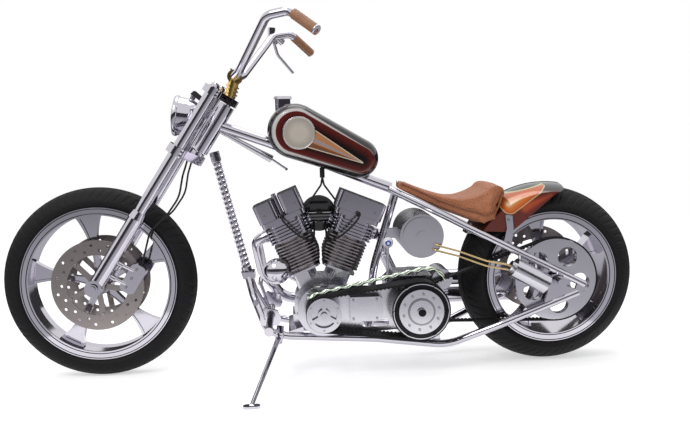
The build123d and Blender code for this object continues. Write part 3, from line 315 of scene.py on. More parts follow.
# %% Tank paint
INK, MAROON, PEARL = (0.008, 0.004, 0.004), (0.10, 0.012, 0.008), (0.56, 0.53, 0.52)
CREAM, COPPER, LILAC = (0.60, 0.53, 0.42), (0.46, 0.20, 0.09), (0.32, 0.27, 0.27)
BROWN, DISC_EDGE, DISC_MIDDLE = (0.19, 0.075, 0.035), (0.40, 0.36, 0.32), (0.52, 0.47, 0.41)
BAND_NOSE, BAND_NOSE_R = (0.730, 0.885), 0.086
BAND_TAIL, BAND_TAIL_R = (0.963, 0.778), 0.050
PANEL_NOSE, PANEL_NOSE_R = (0.734, 0.884), 0.074
PANEL_TAIL, PANEL_TAIL_R = (0.965, 0.777), 0.047
MEDAL, MEDAL_R = (0.742, 0.881), 0.057
CONE_R, CONE_TIP, CONE_TIP_R = 0.042, (0.966, 0.770), 0.003

tank_paint = finish("tank lacquer", INK, 0.0, 0.12, coat=0.35)
uneven_gloss(tank_paint, 12.0, 0.08, 0.18)
view = SideView(tank_paint)
band, _ = view.capsule(BAND_NOSE, BAND_NOSE_R, BAND_TAIL, BAND_TAIL_R)
panel, _ = view.capsule(PANEL_NOSE, PANEL_NOSE_R, PANEL_TAIL, PANEL_TAIL_R)
cone, level = view.capsule(MEDAL, CONE_R, CONE_TIP, CONE_TIP_R)
disc = view.circle(MEDAL, MEDAL_R)
paint = view.layer(INK, PEARL, view.inside(band, -1.0, 0.0, 0.005))
paint = view.layer(paint, MAROON, view.inside(panel, -1.0, 0.0))
paint = view.layer(paint, INK, view.inside(panel, -1.0, -0.008, 0.026))
on_cone = view.inside(cone, -1.0, 0.0)
paint = view.layer(paint, COPPER, on_cone)
paint = view.layer(paint, LILAC, view.sum("MULTIPLY", on_cone, view.inside(level, -0.24, 0.20, 0.05)))
paint = view.layer(paint, BROWN, view.sum("MULTIPLY", on_cone, view.inside(level, -0.88, -0.34, 0.05)))
paint = view.layer(paint, CREAM, view.inside(cone, -0.0036, 0.0))
paint = view.layer(paint, CREAM, view.inside(disc, -1.0, 0.0))
paint = view.layer(paint, DISC_EDGE, view.inside(disc, -1.0, -0.004))
paint = view.layer(paint, DISC_MIDDLE, view.inside(disc, -1.0, -0.012, 0.02))
view.done(paint)
print("tank paint nodes", len(tank_paint.node_tree.nodes))

# %% Fender paint
NIGHT, WINE = (0.008, 0.005, 0.005), (0.13, 0.014, 0.007)
FLAME, STRAW = (0.58, 0.105, 0.012), (0.55, 0.50, 0.26)
# The last of these three colours is a painted highlight.
EMBER, HEART, PAINTED_HIGHLIGHT = (0.42, 0.060, 0.010), (0.72, 0.26, 0.05), (0.78, 0.62, 0.44)
FENDER_MIDDLE, WINE_R = (wheelbase / 1000, REAR_TYRE_R / 1000), 0.326
fender_paint = finish("fender lacquer and painted highlight", NIGHT, 0.0, 0.12, coat=0.35)
uneven_gloss(fender_paint, 12.0, 0.08, 0.18)
view = SideView(fender_paint)
inner = view.circle(FENDER_MIDDLE, WINE_R)
paint = view.layer(NIGHT, WINE, view.inside(inner, -1.0, 0.0, 0.012))
low_lobe, _ = view.capsule((1.555, 0.592), 0.024, (1.650, 0.636), 0.008)
paint = view.layer(paint, EMBER, view.inside(low_lobe, -1.0, 0.0, 0.016))
# A lick of flame from its root under the seat to its tip, outlined in straw
lick, _ = view.capsule((1.500, 0.604), 0.032, (1.638, 0.668), 0.002)
paint = view.layer(paint, STRAW, view.inside(lick, -1.0, 0.003))
paint = view.layer(paint, FLAME, view.inside(lick, -1.0, 0.0))
paint = view.layer(paint, HEART, view.inside(lick, -1.0, -0.006, 0.02))
# A painted highlight: a soft pale patch by the flame's root stands for light on the glossy lacquer.
highlight_patch, _ = view.capsule((1.494, 0.604), 0.012, (1.540, 0.628), 0.004)
paint = view.layer(paint, PAINTED_HIGHLIGHT, view.inside(highlight_patch, -1.0, 0.0, 0.012))
view.done(paint)
print("fender paint nodes", len(fender_paint.node_tree.nodes))

# %% Clutch and shift knob
CRANK, CLUTCH = (811.0, 246.0), (1153.0, 248.0)
COVER, COVER_SHADE, GAP = (0.62, 0.61, 0.65), (0.30, 0.29, 0.32), (0.02, 0.02, 0.022)
clutch_metal = finish("clutch cover", COVER, 1.0, 0.2)
uneven_gloss(clutch_metal, 24.0, 0.13, 0.26)
view = SideView(clutch_metal)
from_shaft = view.circle((CLUTCH[0] / 1000, CLUTCH[1] / 1000), 0.001, 0.0005)
paint = view.layer(COVER, COVER_SHADE, view.inside(from_shaft, 0.040, 0.048))
paint = view.layer(paint, GAP, view.inside(from_shaft, -1.0, 0.013))
paint = view.layer(paint, GAP, view.inside(from_shaft, 0.078, 1.0))
paint = view.layer(paint, COVER, view.inside(from_shaft, 0.095, 0.0985))
view.done(paint)

KNOB, KNOB_R = (1.049, 0.482), 0.0215
IVORY, BLUE = (0.72, 0.72, 0.76), (0.02, 0.05, 0.30)
shift_metal = finish("shift lever", CHROME_COLOR, 0.0, 0.12, coat=1.0)
view = SideView(shift_metal)
knob = view.circle(KNOB, KNOB_R, 0.0005)
paint = view.layer(CHROME_COLOR, IVORY, view.inside(knob, -1.0, 0.0))
paint = view.layer(paint, BLUE, view.inside(knob, -1.0, -0.0105))
paint = view.layer(paint, IVORY, view.inside(knob, -1.0, -0.0165))
view.done(paint)
shift_shader = shift_metal.node_tree.nodes["Principled BSDF"]
not_knob = view.inside(knob, 0.0, 1.0)
shift_metal.node_tree.links.new(not_knob, shift_shader.inputs["Metallic"])
print("clutch paint nodes", len(clutch_metal.node_tree.nodes))

# %% [markdown]
# ## Every CAD node gets its finish
# A table names the finish of each node, and chrome is what the rest have.

# %% Paint the frame
FINISHES = {
    enamel: ["carburettor"],
    alloy: ["crankcase", "gearbox", "drive_plate", "front_pulley", "rear_pulley",
            "oil_tank", "oil_canister", "damper_strut"],
    clutch_metal: ["clutch"],
    shift_metal: ["shift_lever"],
    fin_metal: ["front_cylinder", "rear_cylinder"],
    head_metal: ["front_head", "rear_head"],
    disc_metal: ["front_discs", "rear_disc"],
    gold: ["risers"],
    brass: ["oil_lines"],
    green_chrome: ["belt_guard"],
    hose: ["brake_lines", "petcock_lines"],
    belt_rubber: ["primary_belt", "final_belt"],
    rubber: ["front_tyre", "rear_tyre"],
    glass: ["headlight_lens"],
    tank_paint: ["fuel_tank"],
    fender_paint: ["rear_fender"],
    seat_leather: ["seat"],
    grip_leather: ["grips"],
}
finish_of = {name: made for made, names in FINISHES.items() for name in names}
for name, node in nodes.items():
    node.data.materials.clear()
    node.data.materials.append(finish_of.get(name, chrome))
print("nodes painted", len(nodes))

# %% [markdown]
# ## A piece from a bmesh
# Most added pieces are drawn as a bmesh in the machine's millimetres. The first helper turns
# it into the scene's metres, makes it an object and fixes it to the body it rides on. The
# others place, spin and draw the round shapes that come back again and again.

# %% Finish a piece
def piece(name, drawn, made, body, smooth=True):
    """The drawn bmesh as an object of the scene that rides on a body."""
    drawn.transform(TO_SCENE)
    bmesh.ops.recalc_face_normals(drawn, faces=drawn.faces)
    mesh = bpy.data.meshes.new(name)
    drawn.to_mesh(mesh)
    drawn.free()
    mesh.materials.append(made)
    for polygon in mesh.polygons:
        polygon.use_smooth = smooth
    thing = bpy.data.objects.new(name, mesh)
    bpy.context.scene.collection.objects.link(thing)
    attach(thing, body)
    return thing


def facing(centre, axis):
    """The matrix that puts a shape's Z along an axis at a place."""
    turn = Vector(axis).to_track_quat("Z", "Y").to_matrix().to_4x4()
    return Matrix.Translation(Vector(centre)) @ turn


def full_spin(drawn, parts, middle, axis, steps):
    """Carry vertices and edges once round an axis, the last step merged into the first."""
    bmesh.ops.spin(drawn, geom=parts, cent=middle, axis=axis, angle=2 * pi, steps=steps,
                   use_merge=True, use_duplicate=False)


def round_bar(drawn, spot, radius, depth, segments, tip_r=None):
    """A closed round bar along a matrix's Z, tapered where its tip has a radius of its own."""
    tip = radius if tip_r is None else tip_r
    return bmesh.ops.create_cone(drawn, cap_ends=True, segments=segments, radius1=radius,
                                 radius2=tip, depth=depth, matrix=spot)


# %% [markdown]
# ## Tyres with cut tread
# A tyre is a profile carried round the axle: two bulged sides and a round crown. The tread
# could be a bump, but its edge shows against the light, so the grooves are pressed into the
# mesh: zigzags run round each side of the middle, and slanted slots cross the shoulders.

# %% How deep the tread is cut
TREAD_DEEP, TREAD_PITCH = 4.0, 34.0
ZIGZAG_SWING, ZIGZAG_HALF = 5.0, 3.4
SLOT_SLANT, SLOT_HALF = 0.5, 4.2


def triangle_wave(value):
    """A zigzag between -1 and 1 with a period of 1."""
    return 4 * abs(value - ceil(value - 0.5)) - 1


def groove_depth(around, across_mm, pitch, zigzags, shoulder):
    """Depth in millimetres at a place on the tread: along its middle line and across it."""
    depth = 0.0
    for line in zigzags:
        centre = line + ZIGZAG_SWING * triangle_wave(around / pitch)
        off = abs(across_mm - centre)
        depth = max(depth, TREAD_DEEP * max(0.0, 1.0 - (off / ZIGZAG_HALF) ** 2))
    if abs(across_mm) > shoulder:
        slanted = (around + SLOT_SLANT * abs(across_mm)) % pitch - pitch / 2
        depth = max(depth, TREAD_DEEP * max(0.0, 1.0 - (slanted / SLOT_HALF) ** 2))
    return depth


# %% The profile of a tyre
COLUMN_MM, WALL_BULGE = 3.4, 5.0


def tyre_profile(outer, half, crown, rim_r, bead_half):
    """Points across the tyre, as (across, radius), from one bead over the crown to the other."""
    span = asin(half / crown)
    edge_r = outer - crown + crown * cos(span)
    wall = [(bead_half, rim_r - 15), (bead_half, rim_r + 1)]
    for share in (0.25, 0.5, 0.75):
        bulge = WALL_BULGE * sin(pi * share)
        across_wall = bead_half + (half - bead_half) * share + bulge * 0.5
        wall.append((across_wall, rim_r + 1 + (edge_r - rim_r - 1) * share))
    columns = int(crown * span * 2 / COLUMN_MM)
    turns = [span * (2 * column / columns - 1) for column in range(columns + 1)]
    tread = [(crown * sin(turn), outer - crown + crown * cos(turn)) for turn in turns]
    return [(-y, r) for y, r in wall] + tread + wall[::-1]


# %% Spin the profile and press the grooves
def tread_tyre(name, node, axle, sizes, zigzags, shoulder, steps, body):
    """A tyre with its tread cut in, standing for its CAD node."""
    outer, half, crown = sizes[:3]
    middle = Vector((axle[0], 0, axle[1]))
    drawn = bmesh.new()
    points = [drawn.verts.new((axle[0], y, axle[1] + r)) for y, r in tyre_profile(*sizes)]
    loop = [drawn.edges.new(pair) for pair in zip(points, points[1:] + points[:1])]
    full_spin(drawn, points + loop, middle, (0, 1, 0), steps)
    pitch = 2 * pi * outer / round(2 * pi * outer / TREAD_PITCH)
    for vertex in drawn.verts:
        arm = Vector((vertex.co.x - middle.x, 0, vertex.co.z - middle.z))
        crown_r = outer - crown + (crown**2 - min(crown, abs(vertex.co.y)) ** 2) ** 0.5
        if abs(vertex.co.y) < half * 0.93 and arm.length > crown_r - 0.5:
            run = crown * asin(vertex.co.y / crown)
            depth = groove_depth(atan2(arm.x, arm.z) * outer, run, pitch, zigzags, shoulder)
            vertex.co -= arm.normalized() * depth
    made = piece(name, drawn, rubber, body)
    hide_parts(node)
    print(name, "faces", len(made.data.polygons))


# Each tyre's outer radius, half width, crown radius, rim radius and half width at the bead
FRONT_SIZES = (FRONT_TYRE_R, 60, 60.5, 281, 46)
REAR_SIZES = (REAR_TYRE_R, 111, 125, 243, 98)
FRONT_ZIGZAGS, FRONT_SHOULDER, FRONT_STEPS = (-17, 17), 34, 648
REAR_ZIGZAGS, REAR_SHOULDER, REAR_STEPS = (-44, -14, 14, 44), 62, 600
tread_tyre("front_tread_tyre", "front_tyre", FRONT_HUB, FRONT_SIZES, FRONT_ZIGZAGS, FRONT_SHOULDER,
           FRONT_STEPS, "front_wheel")
tread_tyre("rear_tread_tyre", "rear_tyre", REAR_HUB, REAR_SIZES, REAR_ZIGZAGS, REAR_SHOULDER,
           REAR_STEPS, "rear_wheel")

# %% [markdown]
# ## Steps turned in the rims
# A polished rim has fine steps turned round its lip. Each is a small circle spun about the
# axle, laid on the rim's own face at that radius, which is read from the CAD node.

# %% Spin rings on the rims
STEP_R = 1.8


def ring_spun(drawn, middle, radius, thick, steps=120):
    """A thin ring round the Y direction, added to a bmesh."""
    one = bmesh.new()
    spot = facing((middle[0] + radius, middle[1], middle[2]), (0, 0, 1))
    made = bmesh.ops.create_circle(one, segments=8, radius=thick, matrix=spot)
    full_spin(one, made["verts"] + one.edges[:], middle, (0, 1, 0), steps)
    mesh = bpy.data.meshes.new("ring")
    one.to_mesh(mesh)
    one.free()
    drawn.from_mesh(mesh)
    bpy.data.meshes.remove(mesh)


to_machine = TO_SCENE.inverted()
for body, node, (x, z), radii in (
    ("front_wheel", "front_rim", FRONT_HUB, (276, 268, 259)),
    ("rear_wheel", "rear_rim", REAR_HUB, (238, 229, 219)),
):
    rim_points = [to_machine @ vertex.co for vertex in nodes[node].data.vertices]
    drawn = bmesh.new()
    for side in (-1, 1):
        for radius in radii:
            near = [p.y * side for p in rim_points
                    if abs(((p.x - x) ** 2 + (p.z - z) ** 2) ** 0.5 - radius) < 7 and p.y * side > 0]
            if near:
                ring_spun(drawn, (x, side * max(near), z), radius, STEP_R)
    steps_piece = piece(body + "_rim_steps", drawn, dark_steel, body)
    print(steps_piece.name, "faces", len(steps_piece.data.polygons))

# %% [markdown]
# ## The padded seat
# The seat is a foam pan under leather. Cloth with a little air pressure puffs the CAD shape
# the way foam fills its cover. The swelling is capped, so the seat stays in its place, and
# a laced edge runs round it afterwards.

# %% Puff the seat
SEAT_SHRINK, SEAT_CAP, SEAT_VOXEL = 0.003, 0.006, 0.0055
SEAT_AIR, SEAT_FRAMES = 4.0, 20


def apply_modifiers(thing):
    """Make a thing's modifiers part of its mesh."""
    graph = bpy.context.evaluated_depsgraph_get()
    mesh = bpy.data.meshes.new_from_object(thing.evaluated_get(graph))
    thing.modifiers.clear()
    thing.data = mesh


seat = bpy.data.objects.new("puffed_seat", nodes["seat"].data.copy())
bpy.context.scene.collection.objects.link(seat)
voxels = seat.modifiers.new("voxels", "REMESH")
voxels.mode = "VOXEL"
voxels.voxel_size = SEAT_VOXEL
voxels.use_smooth_shade = True
apply_modifiers(seat)
soften = seat.modifiers.new("soften", "SMOOTH")
soften.factor = 0.5
soften.iterations = 4
apply_modifiers(seat)
for vertex in seat.data.vertices:
    vertex.co -= vertex.normal * SEAT_SHRINK
start = [vertex.co.copy() for vertex in seat.data.vertices]
air = seat.modifiers.new("air", "CLOTH")
air.settings.use_pressure = True
air.settings.uniform_pressure_force = SEAT_AIR
air.settings.effector_weights.gravity = 0.0
for number in range(1, SEAT_FRAMES + 1):
    bpy.context.scene.frame_set(number)
apply_modifiers(seat)
bpy.context.scene.frame_set(1)
for vertex, rest in zip(seat.data.vertices, start):
    moved = vertex.co - rest
    if moved.length > SEAT_CAP:
        vertex.co = rest + moved.normalized() * SEAT_CAP
rounder = seat.modifiers.new("rounder", "SUBSURF")
rounder.levels = rounder.render_levels = 1
seat.data.materials.clear()
seat.data.materials.append(seat_leather)
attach(seat, "chassis")
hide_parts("seat")
print("seat points", len(seat.data.vertices))

# %% [markdown]
# ## The laced edge
# A leather seat's cover is laced round its pan. The lace lies a little above the lowest outer
# edge of the puffed seat, so its line is found from that edge, station by station, and drawn
# as a smooth curve. Short slanted stitches then cross it.

# %% A tube on a smooth line
def add_piece(name, mesh, made, body):
    """A finished mesh as an object that rides on a body."""
    mesh.materials.clear()
    mesh.materials.append(made)
    thing = bpy.data.objects.new(name, mesh)
    bpy.context.scene.collection.objects.link(thing)
    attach(thing, body)
    return thing


def mesh_of(thing):
    """The mesh that a curve object makes at its present thickness."""
    graph = bpy.context.evaluated_depsgraph_get()
    return bpy.data.meshes.new_from_object(thing.evaluated_get(graph))


def smooth_tube(name, points, radius, made, body):
    """A round tube on the smooth line that control points in scene metres give, and that line."""
    curve = bpy.data.curves.new(name, "CURVE")
    curve.dimensions = "3D"
    curve.resolution_u = 8
    spline = curve.splines.new("NURBS")
    spline.points.add(len(points) - 1)
    for knot, point in zip(spline.points, points):
        knot.co = (*point, 1.0)
    spline.order_u = 3
    spline.use_endpoint_u = True
    holder = bpy.data.objects.new(name + "_line", curve)
    bpy.context.scene.collection.objects.link(holder)
    bare = mesh_of(holder)
    line = [vertex.co.copy() for vertex in bare.vertices]
    curve.bevel_depth = radius
    curve.bevel_resolution = 3
    curve.use_fill_caps = True
    tube = mesh_of(holder)
    bpy.data.objects.remove(holder)
    bpy.data.meshes.remove(bare)
    return add_piece(name, tube, made, body), line


# %% Find the edge and lace it
LACE_R, LACE_UP = 0.0038, 26
STITCH_EVERY, STITCH_R, STITCH_LONG = 0.0085, 1.5, 12
LACE_FROM, LACE_TO, LACE_STEP = 1112, 1476, 26
seat_points = [to_machine @ vertex.co for vertex in seat.data.vertices]
drawn = bmesh.new()
for side in (-1, 1):
    edge = []
    for station in range(LACE_FROM, LACE_TO + 1, LACE_STEP):
        near = [point for point in seat_points if abs(point.x - station) < 8 and point.y * side > 0]
        low = max(near, key=lambda point: point.y * side * 0.8 - point.z * 0.5)
        band = [point for point in near if abs(point.z - low.z - LACE_UP) < 6]
        wide = max(band, key=lambda point: point.y * side)
        edge.append(TO_SCENE @ Vector((station, wide.y + side * 2.0, low.z + LACE_UP)))
    name = "seat_lace_left" if side < 0 else "seat_lace_right"
    _, line = smooth_tube(name, edge, LACE_R, edge_leather, "chassis")
    run = 0.0
    for here, after in zip(line, line[1:]):
        run += (after - here).length
        if run > STITCH_EVERY:
            run = 0.0
            along = (to_machine.to_3x3() @ (after - here)).normalized()
            slant = along + Vector((0, side * 0.2, 0.9))
            spot = facing(to_machine @ here + Vector((0, side * 2.6, 0.5)), slant)
            round_bar(drawn, spot, STITCH_R, STITCH_LONG, 6)
stitches = piece("seat_stitches", drawn, seat_leather, "chassis")
print("stitch faces", len(stitches.data.polygons))

# %% [markdown]
# ## Bolts
# A cap screw is a short cylinder whose top face is inset and pushed down for its socket.
# All the screws of one body are drawn into one mesh, since hundreds of objects would be
# slow to move and to read.

# %% Draw one screw
SCREW_SUNK, SCREW_TAPER = 1.0, 0.92
SOCKET_EDGE, SOCKET_DEEP = 0.42, 0.45


def screw(drawn, centre, axis, radius, height):
    """A cap screw with a round socket, its foot sunk a little under the centre."""
    spot = facing(centre, axis) @ Matrix.Translation((0, 0, (height - SCREW_SUNK) / 2))
    made = round_bar(drawn, spot, radius, height + SCREW_SUNK, 18, radius * SCREW_TAPER)
    direction = Vector(axis).normalized()
    tops = {face for vert in made["verts"] for face in vert.link_faces}
    top = max(tops, key=lambda face: (face.calc_center_median() - Vector(centre)).dot(direction))
    bmesh.ops.inset_region(drawn, faces=[top], thickness=radius * SOCKET_EDGE, depth=0.0)
    bmesh.ops.inset_region(drawn, faces=[top], thickness=0.01, depth=-height * SOCKET_DEEP)


def ring_of(drawn, centre, axis, ring_r, count, radius, height, first):
    """Screws evenly round a circle that faces along an axis."""
    spot = facing(centre, axis)
    for step in range(count):
        angle = first + 2 * pi * step / count
        screw(drawn, spot @ Vector((ring_r * cos(angle), ring_r * sin(angle), 0)), axis, radius, height)


# %% Screws on the chassis
LEFT, RIGHT = (0, -1, 0), (0, 1, 0)
CYLINDER_LEAN = radians(22.5)
# Each ring's middle, way, radius, number of screws, and their radius, height and first angle
CHASSIS_RINGS = (
    ((CRANK[0], -68, CRANK[1]), LEFT, 97, 10, 4.5, 5, 0.3),
    ((CRANK[0], 102, CRANK[1]), RIGHT, 66, 6, 4.5, 5, 0.0),
    ((CLUTCH[0] + 7, 112, 262), RIGHT, 64, 6, 4.5, 5, 0.0),
    ((CLUTCH[0], -233, CLUTCH[1]), LEFT, 94, 6, 4.0, 4, 0.0),
    ((CLUTCH[0], -236, CLUTCH[1]), LEFT, 64, 10, 5.0, 5, 0.2),
    ((CRANK[0], -231, CRANK[1]), LEFT, 54, 6, 3.2, 3, 0.5),
)
FRONT_FACE_SCREWS = ((916, 290), (916, 222), (1000, 222), (1000, 290))
BACK_FACE_SCREWS = ((850, 320), (850, 172), (1080, 318), (1080, 178))
FRONT_FACE_Y, BACK_FACE_Y = -196, -154


def on_cylinder(side, x_off, y, height):
    """A point by one cylinder: -1 front, 1 rear; square to it, across and up its line."""
    line = Vector((sin(CYLINDER_LEAN) * side, 0, cos(CYLINDER_LEAN)))
    square = Vector((cos(CYLINDER_LEAN), 0, -sin(CYLINDER_LEAN) * side))
    return Vector((CRANK[0], 0, CRANK[1])) + line * height + square * x_off + Vector((0, y, 0))


drawn = bmesh.new()
for side, head_y in ((-1, -62), (1, -64)):
    for x_off in (-60, 60):
        screw(drawn, on_cylinder(side, x_off, head_y, 385), LEFT, 6, 6)
    for x_off in (-54.4, 54.4):
        screw(drawn, on_cylinder(side, x_off, -66, 340), LEFT, 5, 6)
for ring in CHASSIS_RINGS:
    ring_of(drawn, *ring)
for face_y, spots in ((FRONT_FACE_Y, FRONT_FACE_SCREWS), (BACK_FACE_Y, BACK_FACE_SCREWS)):
    for x, z in spots:
        screw(drawn, (x, face_y, z), LEFT, 4.5, 6)
for side in (-1, 1):
    for z in (468, 552):
        screw(drawn, (1489, side * 134, z), (0, side, 0), 5, 5)
    screw(drawn, (1762, side * 174, 308), (0, side, 0), 5, 5)
screw(drawn, (811, 170, 566), RIGHT, 9, 5)
screws = piece("chassis_screws", drawn, steel, "chassis", smooth=False)
print("chassis screw faces", len(screws.data.polygons))

# %% Screws on the front end
FORK_LEAN = radians(33)


def on_fork(away, y, along):
    """A point by the fork: behind the legs' plane, across, and up from the axle."""
    x = cos(FORK_LEAN) * away + sin(FORK_LEAN) * along
    z = FRONT_TYRE_R - sin(FORK_LEAN) * away + cos(FORK_LEAN) * along
    return x, y, z


fork_line = Vector(on_fork(0, 0, 1)) - Vector(on_fork(0, 0, 0))
drawn = bmesh.new()
for side in (-1, 1):
    for along in (565, 579, 809, 821):
        screw(drawn, on_fork(22, side * 142, along), (0, side, 0), 4, 4)
    screw(drawn, on_fork(0, side * 110, 841), fork_line, 11, 6)
    for along in (52, 90, 128):
        screw(drawn, on_fork(92, side * 92, along), (0, side, 0), 5.5, 5)
    for x in (508, 526):
        screw(drawn, (x, side * 40, 1110), (0, 0, 1), 4, 5)
screws = piece("front_end_screws", drawn, steel, "front_end", smooth=False)
print("front end screw faces", len(screws.data.polygons))

# %% Screws on the wheels
DISC_SCREWS_AT = radians(62)
PULLEY_SCREWS_AT = radians(98)
for body, (x, z), face_y, sides in (
    ("front_wheel", FRONT_HUB, 68.5, (-1, 1)),
    ("rear_wheel", REAR_HUB, 120.5, (1,)),
):
    drawn = bmesh.new()
    for side in sides:
        ring_of(drawn, (x, side * face_y, z), (0, side, 0), 108, 5, 5.5, 4, DISC_SCREWS_AT)
    if body == "rear_wheel":
        ring_of(drawn, (x, -146, z), LEFT, 40, 5, 5.5, 5, PULLEY_SCREWS_AT)
    screws = piece(body + "_screws", drawn, steel, body, smooth=False)
    print(screws.name, "faces", len(screws.data.polygons))

# %% [markdown]
# ## Belt teeth
# The belts grip their pulleys with teeth on the inside. On the straight runs they show from
# the side and from above, so each is a small bar inside the belt, repeated at one pitch.

# %% Teeth on the straight runs
TOOTH_PITCH, TOOTH_DEEP, TOOTH_IN = 14, 3.0, 1.5
ACROSS = Vector((0, 1, 0))


def belt_teeth(name, first, first_r, last, last_r, y_from, y_to):
    """Teeth inside both straight runs of a belt."""
    drawn = bmesh.new()
    a, b = Vector((first[0], 0, first[1])), Vector((last[0], 0, last[1]))
    along = (b - a).normalized()
    swing = (first_r - last_r) / (b - a).length
    for side in (-1, 1):
        out = along * swing + Vector((-along.z, 0, along.x)) * side * (1 - swing**2) ** 0.5
        start, end = a + out * (first_r - TOOTH_IN), b + out * (last_r - TOOTH_IN)
        run = end - start
        way = run.normalized()
        turn = Matrix((way, ACROSS, way.cross(ACROSS))).transposed().to_4x4()
        size = Matrix.Diagonal((TOOTH_PITCH * 0.5, abs(y_to - y_from), TOOTH_DEEP, 1))
        for step in range(1, int(run.length / TOOTH_PITCH)):
            spot = start + way * TOOTH_PITCH * step + ACROSS * (y_from + y_to) / 2
            bmesh.ops.create_cube(drawn, size=1, matrix=Matrix.Translation(spot) @ turn @ size)
    teeth = piece(name, drawn, belt_rubber, "chassis", smooth=False)
    print(name, len(teeth.data.polygons) // 6)


belt_teeth("primary_belt_teeth", CRANK, 58, CLUTCH, 100, -157, -225)
belt_teeth("final_belt_teeth", CLUTCH, 55, REAR_HUB, 150, -119, -145)

# %% [markdown]
# ## The twisted guard
# A rod of flat bar, twisted along its length, guards the belt's top run and arches over the
# clutch. Flat loops of eight corners are set along a smooth line, each turned a little more
# than the one before, and bridged, which twists the bar evenly round the bend too.

# %% Twist the bar
GUARD_ROUTE = ((757, 302), (775, 318), (860, 335), (960, 355), (1060, 376), (1140, 392), (1190, 398),
               (1226, 384), (1240, 352))
GUARD_Y, GUARD_WIDE, GUARD_THIN, GUARD_TURN = -206, 18, 10, 84
POST_R, POSTS = 5, ((758, 304, -154), (1240, 354, -112))
spots = [TO_SCENE @ Vector((x, GUARD_Y, z)) for x, z in GUARD_ROUTE]
rod, line = smooth_tube("guard_line", spots, 0.001, chrome, "chassis")
bpy.data.objects.remove(rod)
line = [to_machine @ point for point in line]
drawn = bmesh.new()
flat = Matrix.Diagonal((GUARD_WIDE / 2, GUARD_THIN / 2, 1, 1))
run, loops = 0.0, []
for before, here, after in zip(line, line[1:], line[2:]):
    for share in (0.0, 0.5):
        spot = here.lerp(after, share)
        turn = Matrix.Rotation(2 * pi * (run + (after - here).length * share) / GUARD_TURN, 4, "Z")
        twisted = facing(spot, after - before) @ turn @ flat
        made = bmesh.ops.create_circle(drawn, segments=8, radius=1, matrix=twisted)
        loops.append(list({edge for vert in made["verts"] for edge in vert.link_edges}))
    run += (after - here).length
for near, far in zip(loops, loops[1:]):
    bmesh.ops.bridge_loops(drawn, edges=near + far)
bmesh.ops.holes_fill(drawn, edges=[edge for edge in drawn.edges if edge.is_boundary])
for x, z, foot_y in POSTS:
    post = facing((x, (GUARD_Y + foot_y) / 2, z), LEFT)
    round_bar(drawn, post, POST_R, abs(GUARD_Y - foot_y), 16)
guard = piece("twisted_guard", drawn, green_chrome, "chassis")
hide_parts("belt_guard")
print("guard faces", len(guard.data.polygons))

# %% [markdown]
# ## Wrapped grips
# Leather is wound round each grip in overlapping turns. A line spun into a tube, whose
# radius then steps along a helix, gives the wraps and their shadows without loose strips.

# %% Wind a grip
GRIP_START, GRIP_END = Vector((735, 350, 1262)), Vector((801, 408, 1206))
GRIP_R, WRAP_PITCH, WRAP_STEP, GRIP_MORE = 15.9, 10.0, 1.7, 4.0


def grip_ends(side):
    """Where one grip starts, the way it points and how long it is."""
    start = Vector((GRIP_START.x, GRIP_START.y * side, GRIP_START.z))
    run = Vector((GRIP_END.x, GRIP_END.y * side, GRIP_END.z)) - start
    return start, run.normalized(), run.length + GRIP_MORE


def wrapped_grip(side):
    """One grip as a bmesh, its radius stepped along a helix."""
    start, way, length = grip_ends(side)
    spun = bmesh.new()
    rows = int(length)
    points = [spun.verts.new((GRIP_R, 0, length * row / rows)) for row in range(rows + 1)]
    line = [spun.edges.new(pair) for pair in zip(points, points[1:])]
    full_spin(spun, points + line, (0, 0, 0), (0, 0, 1), 40)
    for vertex in spun.verts:
        phase = (vertex.co.z / WRAP_PITCH + atan2(vertex.co.y, vertex.co.x) / (2 * pi)) % 1.0
        grow = 1 + WRAP_STEP / GRIP_R * (1 - phase) * min(1.0, phase * 8)
        vertex.co.x *= grow
        vertex.co.y *= grow
    bmesh.ops.holes_fill(spun, edges=[edge for edge in spun.edges if edge.is_boundary])
    spun.transform(facing(start, way))
    return spun


for side, name in ((-1, "left_wrapped_grip"), (1, "right_wrapped_grip")):
    grip = piece(name, wrapped_grip(side), grip_leather, "front_end")
    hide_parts("grips")
    print(name, "faces", len(grip.data.polygons))

# %% Bar end caps
CAP_R, CAP_THICK, CAP_OUT, CAP_EDGE = 17.4, 5, 1.5, 1.6
drawn = bmesh.new()
for side in (-1, 1):
    start, way, length = grip_ends(side)
    spot = facing(start + way * (length + CAP_OUT), way)
    made = round_bar(drawn, spot, CAP_R, CAP_THICK, 40)
    rims = {edge for vert in made["verts"] for edge in vert.link_edges if edge.calc_face_angle(0) > 1.0}
    bmesh.ops.bevel(drawn, geom=list(rims), offset=CAP_EDGE, segments=3, profile=0.5, affect="EDGES",
                    material=-1)
caps = piece("bar_end_caps", drawn, chrome, "front_end")
print("bar end cap faces", len(caps.data.polygons))

# %% [markdown]
# ## Spark plugs and their leads
# Each head has a plug on its left face. Its lead is a real cord: a smooth line that drops
# across the fins and goes in between the cylinders, past the middle of the machine.

# %% Plugs
PLUG_UP, PLUG_FACE = 362, -72
ceramic = finish("plug ceramic", (0.75, 0.74, 0.70), 0.0, 0.25)
uneven_gloss(ceramic, 40.0, 0.2, 0.32)
hexes, bodies, boots = bmesh.new(), bmesh.new(), bmesh.new()
for side in (-1, 1):
    foot = on_cylinder(side, 0, PLUG_FACE, PLUG_UP)
    for target, first_r, last_r, start, depth, segments in (
        (hexes, 10, 10, -4, 12, 6),
        (bodies, 6.5, 5.5, 6, 14, 24),
        (boots, 8.5, 6, 16, 18, 24),
    ):
        spot = facing(foot + Vector((0, -start - depth / 2, 0)), LEFT)
        round_bar(target, spot, first_r, depth, segments, last_r)
piece("plug_hexes", hexes, steel, "chassis", smooth=False)
piece("plug_bodies", bodies, ceramic, "chassis")
piece("plug_boots", boots, belt_rubber, "chassis")
print("plug face", PLUG_FACE, "mm across,", PLUG_UP, "mm up the cylinder's line")

# %% Leads
LEAD_R, BOOT_OUT = 0.0038, 22
